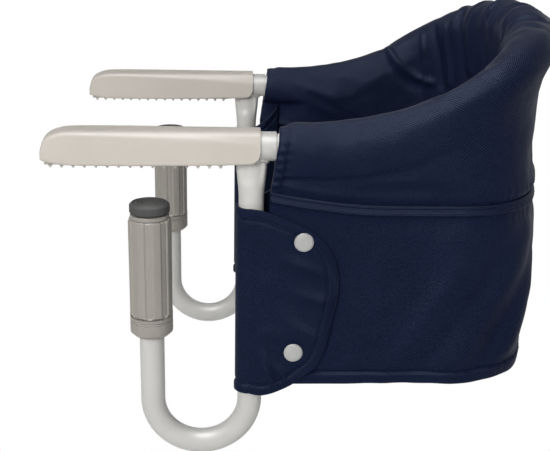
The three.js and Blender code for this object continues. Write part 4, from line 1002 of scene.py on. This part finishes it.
def flapSeam(side):
    outline = flapOutline[flapOutline[:, 0] > flap["legX"] - 0.006]
    tangent = unit(np.gradient(outline, axis=0))
    x, z = (outline + together(tangent[:, 1], -tangent[:, 0]) * flap["hem"]).T
    return together(x, side * (flap["faceY"] + flap["thickness"] + 0.002), z)


for name, side in sides.items():
    foldFlap(sew(f"{name}FlapStitching", [flapSeam(side)], flapPieces[name]))
print("seams sewn")


# Seat: floor, board and cushion.
pan = {
    "front": 0.054, "floor": -0.198, "floorThickness": 0.004, "floorEdge": 0.0012,
    "gap": 0.0003, "spacing": 0.006, "corner": 0.012, "cushion": -0.1884,
}


def seatPlan(front, inset, spacing):
    reach = faceLine - skirt["thickness"] - inset
    points = axisLine[:, :2] + axisOut[:, :2] * reach[:, None]
    points = points[points[:, 0] > front + 0.001]
    side = loop["span"] / 2 + tub["wallSide"] - skirt["thickness"] - inset
    line = np.concatenate([[[front, 0], [front, -side]], points, [[front, side], [front, 0]]])
    return evenLine(np.array(filletLine(line, pan["corner"])), spacing)[:-1]


def addFloor():
    plan = seatPlan(pan["front"], pan["gap"], pan["spacing"])
    inward = unit(plan.mean(axis=0) - plan)
    low, edge = pan["floor"], pan["floorEdge"]
    high, drawn = low + pan["floorThickness"], edge * 0.3
    sections = (drawn, low), (0, low + edge), (0, high - edge), (drawn, high)
    gridPiece("seatFloor", [together(*(plan + inward * drawn).T, z) for drawn, z in sections], "fabric")


addFloor()

cushion = {
    "front": 0.059, "inset": 0.005, "thickness": 0.022, "crown": 0.005,
    "spacing": 0.0055, "piping": 0.0022, "pipingSpacing": 0.004,
    "pressure": 4.0, "mostMove": 0.006, "bending": 0.5,
    "sections": [  # rise and how far it is drawn in, with the seam at half the rise
        (0.0, 0.00825), (0.15, 0.003375), (0.35, 0.00075), (0.5, 0.0),
        (0.65, 0.00075), (0.85, 0.00375), (1.0, 0.0105),
    ],
    "topShares": [0.12, 0.24, 0.38, 0.52, 0.66, 0.8, 0.92],
}
seatMiddle = (pan["front"] + loop["backReach"]) / 2


def cushionHeight(x, y):
    along, across = (x - seatMiddle) / (loop["backReach"] - seatMiddle), y / (loop["span"] / 2)
    fall = np.maximum(0, 1 - along**2) * np.maximum(0, 1 - across**2)
    return pan["cushion"] + cushion["thickness"] + cushion["crown"] * fall


def addCushion():
    plan = seatPlan(cushion["front"], cushion["inset"], cushion["spacing"])
    centre = np.array([seatMiddle, 0.0])
    inward = unit(centre - plan)
    shares, low = cushion["topShares"], pan["cushion"]
    rings = [together(*mix(plan, centre, share).T, low) for share in reversed(shares)]
    for rise, drawn in cushion["sections"]:
        moved = (plan + inward * drawn).T
        rings.append(together(*moved, mix(low, cushionHeight(*moved) - 0.001, rise)))
    for share in shares:
        moved = mix(plan + inward * 0.010, centre, share).T
        rings.append(together(*moved, cushionHeight(*moved) - 0.0015))
    piece = gridPiece("seatCushion", rings, "fabric", None)
    columns = len(plan)
    seam = (len(shares) + [rise for rise, _ in cushion["sections"]].index(0.5)) * columns
    pinned = np.zeros(len(piece.data.vertices), bool)
    pinned[: columns * (len(shares) + 1)] = True
    pinned[seam : seam + columns] = True
    swelled = vertexPlaces(piece.data) + swell(piece, cushion, pinned)
    piece.data.vertices.foreach_set("co", swelled.astype(np.float32).ravel())
    modify(piece, "SUBSURF", levels=1, render_levels=1)
    edge = together(*plan.T, low + cushion["thickness"] * 0.5)
    line = evenLine(np.concatenate([edge, edge[:1]]), cushion["pipingSpacing"])[:-1]
    beadPiece("cushionPiping", line, cushion["piping"], "trim", "seat")
    return seat(piece, "seat")


cushionPiece = addCushion()
cushionTree = BVHTree.FromObject(cushionPiece, bpy.context.evaluated_depsgraph_get())
print("seat made")


# Harness.
harness = {
    "width": 0.025, "thickness": 0.0016, "spacing": 0.003, "buckleX": 0.128, "rootX": 0.205, "corner": 0.008,
    "button": 0.009, "buttonProud": 0.0012, "well": 0.0032, "tongueCorner": 0.003,
    "crotchLifts": [(0.070, 0.0025), (0.080, 0.0016), (0.090, 0.0016)],
    "strapShares": [
        (-1, 0), (-0.985, 0.75), (-0.93, 1), (-0.5, 1), (0, 1), (0.5, 1), (0.93, 1), (0.985, 0.75),
    ],
    "buckleSections": [  # how far in, and share of the height
        (0.0016, 0), (0.0005, 0.04), (0, 0.14), (0, 0.72), (0.0007, 0.86), (0.0022, 0.96), (0.0042, 1.0),
    ],
}


def addStrap(name, line, across):
    # Flat webbing along a line, with rounded selvedges.
    line = evenLine(line, harness["spacing"])
    across = np.broadcast_to(unit(np.asarray(across, float)), line.shape)
    up = np.cross(unit(np.gradient(line, axis=0)), across)
    half, thick = harness["width"] / 2, harness["thickness"] / 2
    outline = harness["strapShares"] + [(-a, -b) for a, b in harness["strapShares"]]
    grid = [line + across * half * a + up * thick * b for a, b in outline]
    gridPiece(name, np.stack(grid, axis=1), "web")


def clothRest(x, y):  # height of the cushion's top as it ended up
    hit = cushionTree.ray_cast(Vector((x, y, 0)), Vector((0, 0, -1)))[0]
    return hit.z if hit else float(cushionHeight(x, y))


def addHarness():
    low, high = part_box("buckle_body")
    up = pan["front"] - 0.0019
    line = [(up, 0, pan["floor"] + 0.0005), (up, 0, -0.172), (up + 0.0015, 0, -0.166)]
    line += [(up + 0.006, 0, clothRest(0.062, 0) + 0.004)]
    line += [(x, 0, clothRest(x, 0) + lift) for x, lift in harness["crotchLifts"]]
    line += [(low.x + 0.0037, 0, low.z + 0.003)]
    addStrap("crotchStrap", smoothLine(line, 60), (0, 1, 0))
    for name, side in sides.items():
        low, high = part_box(f"{name}_buckle_tongue")
        start = np.array([harness["buckleX"], side * (abs(high.y if side > 0 else low.y) - 0.004)])
        stretch = np.array([harness["rootX"] + 0.006, side * (loop["span"] / 2 - 0.0105)]) - start
        points = [(*start, (low.z + high.z) / 2 + 0.0005)]
        for share in (0.12, 0.3, 0.5, 0.7, 0.88, 1.0):
            x, y = start + stretch * share
            points.append((x, y, clothRest(x, y) + 0.0014 + 0.004 * max(0, share - 0.85) / 0.15))
        addStrap(f"{name}WaistStrap", smoothLine(points, 50), (-stretch[1], stretch[0], 0))


def plateRings(low, high, sections, steps=6):  # rounded rectangles: drawn in by, height, corner
    middle = (low + high) / 2
    rings = []
    for drawn, z, corner in sections:
        length, width = high.x - low.x - 2 * drawn, high.y - low.y - 2 * drawn
        ring = []
        for quarter, (cx, cy) in enumerate(((1, 1), (-1, 1), (-1, -1), (1, -1))):
            for k in range(steps + 1):
                angle = pi / 2 * (quarter + k / steps)
                x = cx * (length / 2 - corner) + corner * cos(angle)
                y = cy * (width / 2 - corner) + corner * sin(angle)
                ring.append((middle.x + x, middle.y + y, z))
        rings.append(ring)
    return rings


def addBuckle():
    low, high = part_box("buckle_body")
    x, y, depth = (low.x + high.x) / 2, (low.y + high.y) / 2, high.z - low.z
    sections = [(a, low.z + share * depth, harness["corner"] - a) for a, share in harness["buckleSections"]]
    rings = plateRings(low, high, sections)
    radius = harness["button"] + 0.0005
    angles = [atan2(b - y, a - x) for a, b, _ in rings[0]]
    for z in (high.z, high.z - harness["well"]):
        rings.append([(x + radius * cos(angle), y + radius * sin(angle), z) for angle in angles])
    gridPiece("buckleBody", rings, "buckle")
    top, r = high.z + harness["buttonProud"], harness["button"]
    shares = (0, 0.0042), (1, 0.0042), (1, 0.0006), (0.9, 0), (0.5, 0.0007), (0, 0.0009)
    profile = [(r * share, top - drop) for share, drop in shares]
    turnedPiece("buckleButton", profile, (x, y, 0), (0, 0, 1), "buckle", "buckle_press", 64, 0.0005)
    for name in sides:
        low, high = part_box(f"{name}_buckle_tongue")
        sections = (0.0006, low.z), (0, low.z + 0.0007), (0, high.z - 0.0007), (0.0006, high.z)
        sections = [(*section, harness["tongueCorner"]) for section in sections]
        gridPiece(f"{name}BuckleTongue", plateRings(low, high, sections), "buckle")


addHarness()
addBuckle()
print("harness made")


# Hook: barrel, formed leg, U and rising leg.
hook = {
    "radius": 0.011, "wall": 0.0015, "lip": 0.0005, "innerRows": 40,
    "legX": 0.014, "pitch": 0.088, "low": -0.264, "top": -0.100,
    "crownWidth": 0.0134, "crownDepth": 0.0098, "formLength": 0.034,
    "dentDepth": 0.0024, "dentLow": -0.0175, "dentHigh": -0.009, "dentWidth": 0.9,
    "segments": 72, "spacing": 0.0025, "bead": 0.0017,
    "barrelRadius": 0.0125, "barrelFront": -0.040, "barrelBack": 0.0348, "bore": 0.01135,
}


def addHook(name, side):
    centreY, level = side * loop["span"] / 2, loop["height"]
    leg, rise = hook["legX"], hook["legX"] - hook["pitch"]
    corners = [(leg, 0, level - 0.006), (leg, 0, hook["low"])]
    corners += [(rise, 0, hook["low"]), (rise, 0, hook["top"])]
    line = bentLine(corners, [hook["pitch"] / 2] * 2, hook["spacing"])
    along = unit(np.cross((0, 1, 0), unit(np.gradient(line, axis=0))))
    fall, onLeg = level - hook["barrelRadius"] - line[:, 2], line[:, 0] > leg - 1e-4

    def formed(plain, full, share):  # the leg is wide and flat at the barrel, and round further down
        return mix(plain, full, np.where(onLeg, 1 - smoothStep(0, hook["formLength"] * share, fall), 0))

    width = formed(hook["radius"], hook["crownWidth"], 1)
    depth = formed(hook["radius"], hook["crownDepth"], 0.75)
    dent = np.where(onLeg, smoothStep(hook["dentLow"], hook["dentHigh"], line[:, 2]), 0)
    dent *= hook["dentDepth"]
    angles = np.linspace(0, tau, hook["segments"], endpoint=False)
    facing = np.abs(np.sin(angles))
    lobe = smoothStep(hook["dentWidth"] - 0.38, hook["dentWidth"], facing)

    def shell(inset, rows):
        across = np.cos(angles) * (width[rows] - inset)[:, None]
        out = facing * (depth[rows] - inset)[:, None] - dent[rows][:, None] * lobe
        out *= np.sign(np.sin(angles))
        grid = line[rows][:, None] + along[rows][:, None] * across[..., None]
        grid[..., 1] += out + centreY
        return grid

    rows = np.arange(len(line))
    outer, lift = shell(0, rows), (0, 0, hook["lip"])
    middle = (outer[-1:] + lift).mean(axis=1, keepdims=True)
    edge = (outer[-1:] - middle) * (1 - hook["lip"] / hook["radius"]) + middle + lift
    inner = shell(hook["wall"], rows[::-1])[: hook["innerRows"]]
    gridPiece(f"{name}HookTube", np.concatenate([outer, edge, inner]), "paint", f"{name}_hook")
    # Weld bead where the leg meets the barrel.
    turn = np.linspace(0, tau, 120, endpoint=False)
    x = leg + (hook["crownWidth"] + 0.0002) * np.cos(turn)
    y = (hook["crownDepth"] - 0.0010) * np.sin(turn)
    z = level - np.sqrt((hook["barrelRadius"] + 0.0003) ** 2 - y**2)
    ripple = hook["bead"] * (1 + 0.10 * np.sin(turn * 31) + 0.08 * np.sin(turn * 13 + 1))
    beadPiece(f"{name}WeldBead", together(x, y + centreY, z), ripple, "paint", f"{name}_hook")
    profile = tubeProfile(hook["bore"], hook["barrelRadius"], hook["barrelFront"], hook["barrelBack"])
    place = (0, centreY, level)
    turnedPiece(f"{name}PivotBarrel", profile, place, (1, 0, 0), "paint", f"{name}_hook", 96, 0.0011)


# Arm pad and its teeth.
pad = {
    "length": 0.1845, "back": 0.021, "half": 0.016, "top": 0.0325, "belly": 0.0008,
    "sag": 0.0021, "noseLift": 0.0036, "heelLift": 0.002, "nose": 0.030,
    "shoulder": 0.0125, "shoulderShare": 0.22, "corner": 0.0085,
    "stations": 90, "runBreaks": (0.35, 0.82, 1), "runShares": (0.10, 0.955, 1),
    "edgeRound": 0.0026, "ridgeRound": 0.0085, "endRound": 0.0011,
    "ceiling": 0.0043, "stripHalf": 0.012, "stripMargin": 0.003,
    "shares": [  # run from the nose, height, width
        (0, 0.36, 0.76), (0.012, 0.61, 0.83), (0.030, 0.79, 0.90), (0.076, 0.93, 0.95),
        (0.15, 0.985, 0.983), (0.4, 1, 1), (0.7, 1, 1), (1, 1, 0.97),
    ],
    "teeth": 16, "toothPitch": 0.0095, "toothFirst": -0.155,
    "toothHeight": 0.0026, "toothTip": 0.0009, "toothRoot": 0.0046,
}


def padSections():
    shares = smoothLine(pad["shares"], 500)
    shares = shares[np.argsort(shares[:, 0])]
    # Stations lie closest together at the nose.
    t, first = np.linspace(0, 1, pad["stations"]), pad["runBreaks"][0]
    nearNose = pad["runShares"][0] * (t / first) ** 1.6
    runs = np.where(t < first, nearNose, np.interp(t, pad["runBreaks"], pad["runShares"]))
    radii = [pad["edgeRound"]] * 2 + [pad["ridgeRound"]] * 6 + [pad["edgeRound"]] * 6
    front = pad["back"] - pad["length"]
    grid = []
    for run in runs:
        height, width = (np.interp(run, shares[:, 0], shares[:, k]) for k in (1, 2))
        x = front + run * pad["length"]
        nose = max(0.0, 1 - run * pad["length"] / pad["nose"])
        low = pad["sag"] + pad["noseLift"] * nose * nose + pad["heelLift"] * run**3
        top = low + (pad["top"] - low) * min(height, 1.0)
        half = (pad["half"] - pad["belly"] + pad["belly"] * sin(pi * run)) * width
        shoulder = min(pad["shoulder"] * mix(pad["shoulderShare"], 1, run * run), (top - low) / 2)
        into = x - (pad["back"] - pad["corner"])
        if into > 0:
            low += pad["corner"] - sqrt(max(pad["corner"] ** 2 - into**2, 0))
        ceiling = min(max(pad["ceiling"], low + 0.001), top - 0.002)
        if x < front + pad["stripMargin"]:  # the pocket is closed at the nose
            ceiling = low + 0.0002
        pocket = min(pad["stripHalf"] + 0.0003, half - 0.0024)
        flank = [(-half + 0.0012, low), (-half, low + 0.0016), (-half, top - shoulder)]
        flank += [(-half * 0.72, top - shoulder * 0.2), (-half * 0.3, top)]
        outline = flank + [(-y, z) for y, z in reversed(flank)]
        outline += [(pocket, low), (pocket, ceiling), (-pocket, ceiling), (-pocket, low)]
        grid.append([(x, y, z) for y, z in filletLine(outline, radii, 5, closed=True)])
    return np.array(grid)


def toothTree():
    tree, given = geometryTree("toothRow", Count="Int", Pitch="Float", Tooth="Object")
    step = addNode(tree, "ShaderNodeCombineXYZ", None, {"X": given["Pitch"]}).outputs[0]
    inputs = {"Count": given["Count"], "Offset": step}
    line = addNode(tree, "GeometryNodeMeshLine", None, inputs).outputs[0]
    tooth = addNode(tree, "GeometryNodeObjectInfo", None, {"Object": given["Tooth"]}).outputs["Geometry"]
    inputs = {"Points": line, "Instance": tooth}
    rows = addNode(tree, "GeometryNodeInstanceOnPoints", None, inputs).outputs[0]
    both = addNode(tree, "GeometryNodeJoinGeometry", None, {0: rows})
    feed(tree, both.inputs[0], given["Geometry"])
    return closeTree(tree, given, both.outputs[0])


toothRow = toothTree()


def addPad(name, side):
    body = f"{name}_hook"
    shell = gridPiece(f"{name}ArmPad", padSections() + (0, side * loop["span"] / 2, 0), "pad", body)
    rounding = {"limit_method": "ANGLE", "angle_limit": radians(40)}
    modify(shell, "BEVEL", width=pad["endRound"], segments=3, **rounding)
    low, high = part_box(f"{name}_table_grip")
    root, tip, rise = pad["toothRoot"] / 2, pad["toothTip"] / 2, pad["toothHeight"]
    foot = rise + 0.0004
    profile = filletLine([(-root, foot), (-tip, 0), (tip, 0), (root, foot)], 0.0003, 3)
    half = pad["stripHalf"] - 0.0003
    ends = [[(x, half * share, z) for x, z in profile] for share in (-1, -0.34, 0.34, 1)]
    wedge = gridPiece("tooth", ends, "teeth", None)
    corners = [(low.x, rise), (high.x, rise), (high.x, high.z), (low.x, high.z)]
    strip = filletLine(corners, 0.0004, 3, closed=True)
    y = (low.y + high.y) / 2
    ends = [[(a, y + s * half, b) for a, b in strip] for s in (-1, 1)]
    base = gridPiece(f"{name}TableGrip", ends, "teeth", None)
    # The row starts at the first tooth, so the base is moved to it and back.
    start = Vector((pad["toothFirst"], y, 0))
    base.data.transform(Matrix.Translation(-start))
    row = {"Count": pad["teeth"], "Pitch": pad["toothPitch"], "Tooth": wedge}
    grow(base, toothRow, Material=finishes["teeth"], **row)
    base.data.transform(Matrix.Translation(start))
    bpy.data.objects.remove(wedge)
    seat(base, body)


# Clamp: fluted sleeve, collar, foot.
clamp = {
    "sleeve": 0.019, "flutes": 8, "fluteDepth": 0.0010, "fluteHalf": 0.0034, "fluteEnd": 0.0082,
    "fluteEdge": 0.0011, "segments": 256, "groove": 0.0007, "grooveWidth": 0.0012, "chamfer": 0.0035,
    "inner": 0.0152, "overlap": 0.012, "pin": 0.00535,
    "footChamfer": 0.002, "footRings": (0.0135, 0.0100, 0.0065), "ringDepth": 0.001,
}


def clampCentre(side):
    return Vector((hook["legX"] - hook["pitch"], side * loop["span"] / 2, 0))


def addSleeve(name, side):
    low, high = (corner.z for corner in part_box(f"{name}_twist_grip"))
    angles = np.linspace(0, tau, clamp["segments"], endpoint=False)
    turnShare = tau / clamp["flutes"]
    arc = np.abs((angles + turnShare / 2) % turnShare - turnShare / 2) * clamp["sleeve"]
    start, edge = low + clamp["fluteEnd"], clamp["fluteEdge"] / 2
    heights = np.concatenate([
        [low, low + 0.0004, low + 0.002], np.linspace(low + 0.005, start - 0.005, 3),
        np.linspace(start - 0.0045, start + 0.002, 26), np.linspace(start + 0.005, high - 0.004, 22),
        [high - 0.002, high - 0.0012, high - 0.0005, high - 0.0001],
    ])
    sections = []
    for z in heights:
        reach = np.hypot(arc, max(start - z, 0))
        depth = clamp["fluteDepth"] * smoothStep(clamp["fluteHalf"] + edge, clamp["fluteHalf"] - edge, reach)
        lip = 0.0003 * (1 - smoothStep(0, 0.0012, z - low)) + 0.0010 * smoothStep(high - 0.0016, high, z)
        sections.append((clamp["sleeve"] - depth - lip, z))
    sections += [(0.0150, high), (0.0058, high), (0.0056, high - 0.0003), (0.0056, high - 0.004)]
    sections += [(0.0153, high - 0.004), (0.0155, low + 0.0004), (0.0158, low)]
    rings = [together(radius * np.cos(angles), radius * np.sin(angles), z) for radius, z in sections]
    grid = np.array(rings) + np.array(clampCentre(side))
    gridPiece(f"{name}TwistGrip", grid, "grip", f"{name}_grip", ring=True)


def addCollar(name, side):
    low, high = (corner.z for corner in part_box(f"{name}_grip_collar"))
    r, bore, inner, top = clamp["sleeve"], hook["bore"], clamp["inner"], high - clamp["overlap"]
    g, w, c = clamp["groove"], clamp["grooveWidth"], clamp["chamfer"]
    profile = [(bore, low), (r - c, low), (r, low + c), (r, top - 2 * w), (r - g, top - 1.9 * w)]
    profile += [(r - g, top - 1.1 * w), (r, top - w), (r, top), (inner, top), (inner, high), (bore, high)]
    place = clampCentre(side)
    turnedPiece(f"{name}GripCollar", profile, place, (0, 0, 1), "grip", f"{name}_grip", 128, 0.0005)


def addFoot(name, side):
    body, place = f"{name}_clamp", clampCentre(side)
    low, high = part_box(f"{name}_clamp_foot")
    r = (high.x - low.x) / 2
    c = clamp["footChamfer"]
    profile = [(0, low.z), (r - c, low.z), (r, low.z + c), (r, high.z - c), (r - c, high.z)]
    deep = clamp["ringDepth"]
    for ring in clamp["footRings"]:
        profile += [(ring + deep, high.z), (ring, high.z - deep), (ring - deep, high.z)]
    turnedPiece(f"{name}ClampFoot", [*profile, (0, high.z)], place, (0, 0, 1), "foot", body)
    low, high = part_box(f"{name}_foot_carrier")
    profile = tubeProfile(clamp["pin"], (high.x - low.x) / 2, low.z, high.z)
    turnedPiece(f"{name}FootCarrier", profile, place, (0, 0, 1), "grip", body, radius=0.0007)


# Nodes that show as they are in the frame.
shown = {"loop_frame": "paint", "seat_board": "board"}
shownOnSides = {"pivot_bush": "grip", "end_plug": "grip", "tube_nut": "steel", "clamp_spindle": "steel"}
for name, side in sides.items():
    for add in (addHook, addPad, addSleeve, addCollar, addFoot):
        add(name, side)
    shown.update({f"{name}_{kind}": finish for kind, finish in shownOnSides.items()})
for node, finish in shown.items():
    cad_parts[node].material_slots[0].material = finishes[finish]
print("hooks, pads and clamps made")


# Studio: pale floor well below the chair, soft lamps, white background.
studio = {
    "floor": -0.74, "floorHalf": 6, "target": (0.06, 0, -0.06),
    "world": 0.31, "sky": (0.93, 0.96, 1.0, 1),
    "lamps": [
        ("keyLamp", (-0.70, -1.80, 0.85), 1.0, 33.5),
        ("fillLamp", (1.3, -1.6, 0.3), 1.3, 2),
        ("topLamp", (0.2, -0.2, 1.9), 1.2, 2.5),
        ("backLamp", (0.9, 1.6, 0.7), 1.2, 3.5),
        ("glossLamp", (-0.24, -0.62, 1.22), 0.7, 225),  # seen only in reflections, along rounded edges
    ],
}


def whiteForCamera(tree, ordinary, output):
    path = tree.nodes.new("ShaderNodeLightPath").outputs
    seen = path["Is Camera Ray"]
    for kind in ("Is Glossy Ray", "Is Transmission Ray"):
        inputs = {0: seen, 1: path[kind]}
        seen = addNode(tree, "ShaderNodeMath", {"operation": "MAXIMUM"}, inputs).outputs[0]
    kind = "ShaderNodeBackground" if ordinary.type == "BACKGROUND" else "ShaderNodeEmission"
    bright = addNode(tree, kind, None, {0: (1, 1, 1, 1)}).outputs[0]
    blend = addNode(tree, "ShaderNodeMixShader", None, {0: seen, 1: ordinary.outputs[0], 2: bright})
    feed(tree, output.inputs["Surface"], blend.outputs[0])


def addStudio():
    scene.view_settings.view_transform = "Standard"
    scene.world = bpy.data.worlds.new("studio")
    scene.world.use_nodes = True
    tree = scene.world.node_tree
    sky = tree.nodes["Background"]
    sky.inputs[0].default_value, sky.inputs[1].default_value = studio["sky"], studio["world"]
    whiteForCamera(tree, sky, tree.nodes["World Output"])
    for name, place, size, power in studio["lamps"]:
        lamp = addObject(name, put(bpy.data.lights.new(name, "AREA"), size=size, energy=power))
        aim = (Vector(studio["target"]) - Vector(place)).to_track_quat("-Z", "Y").to_euler()
        put(lamp, location=place, rotation_euler=aim, visible_diffuse=name != "glossLamp")
    mesh = bpy.data.meshes.new("floor")
    half, level = studio["floorHalf"], studio["floor"]
    corners = [(x * half, y * half, level) for x, y in ((-1, -1), (1, -1), (1, 1), (-1, 1))]
    mesh.from_pydata(corners, [], [(0, 1, 2, 3)])
    finish = Finish("paleFloor", Roughness=0.9, Base_Color=(0.9, 0.9, 0.9, 1))
    whiteForCamera(finish.tree, finish.shader, finish.tree.nodes["Material Output"])
    mesh.materials.append(finish.material)
    addObject("floor", mesh)


addStudio()
print("studio ready")
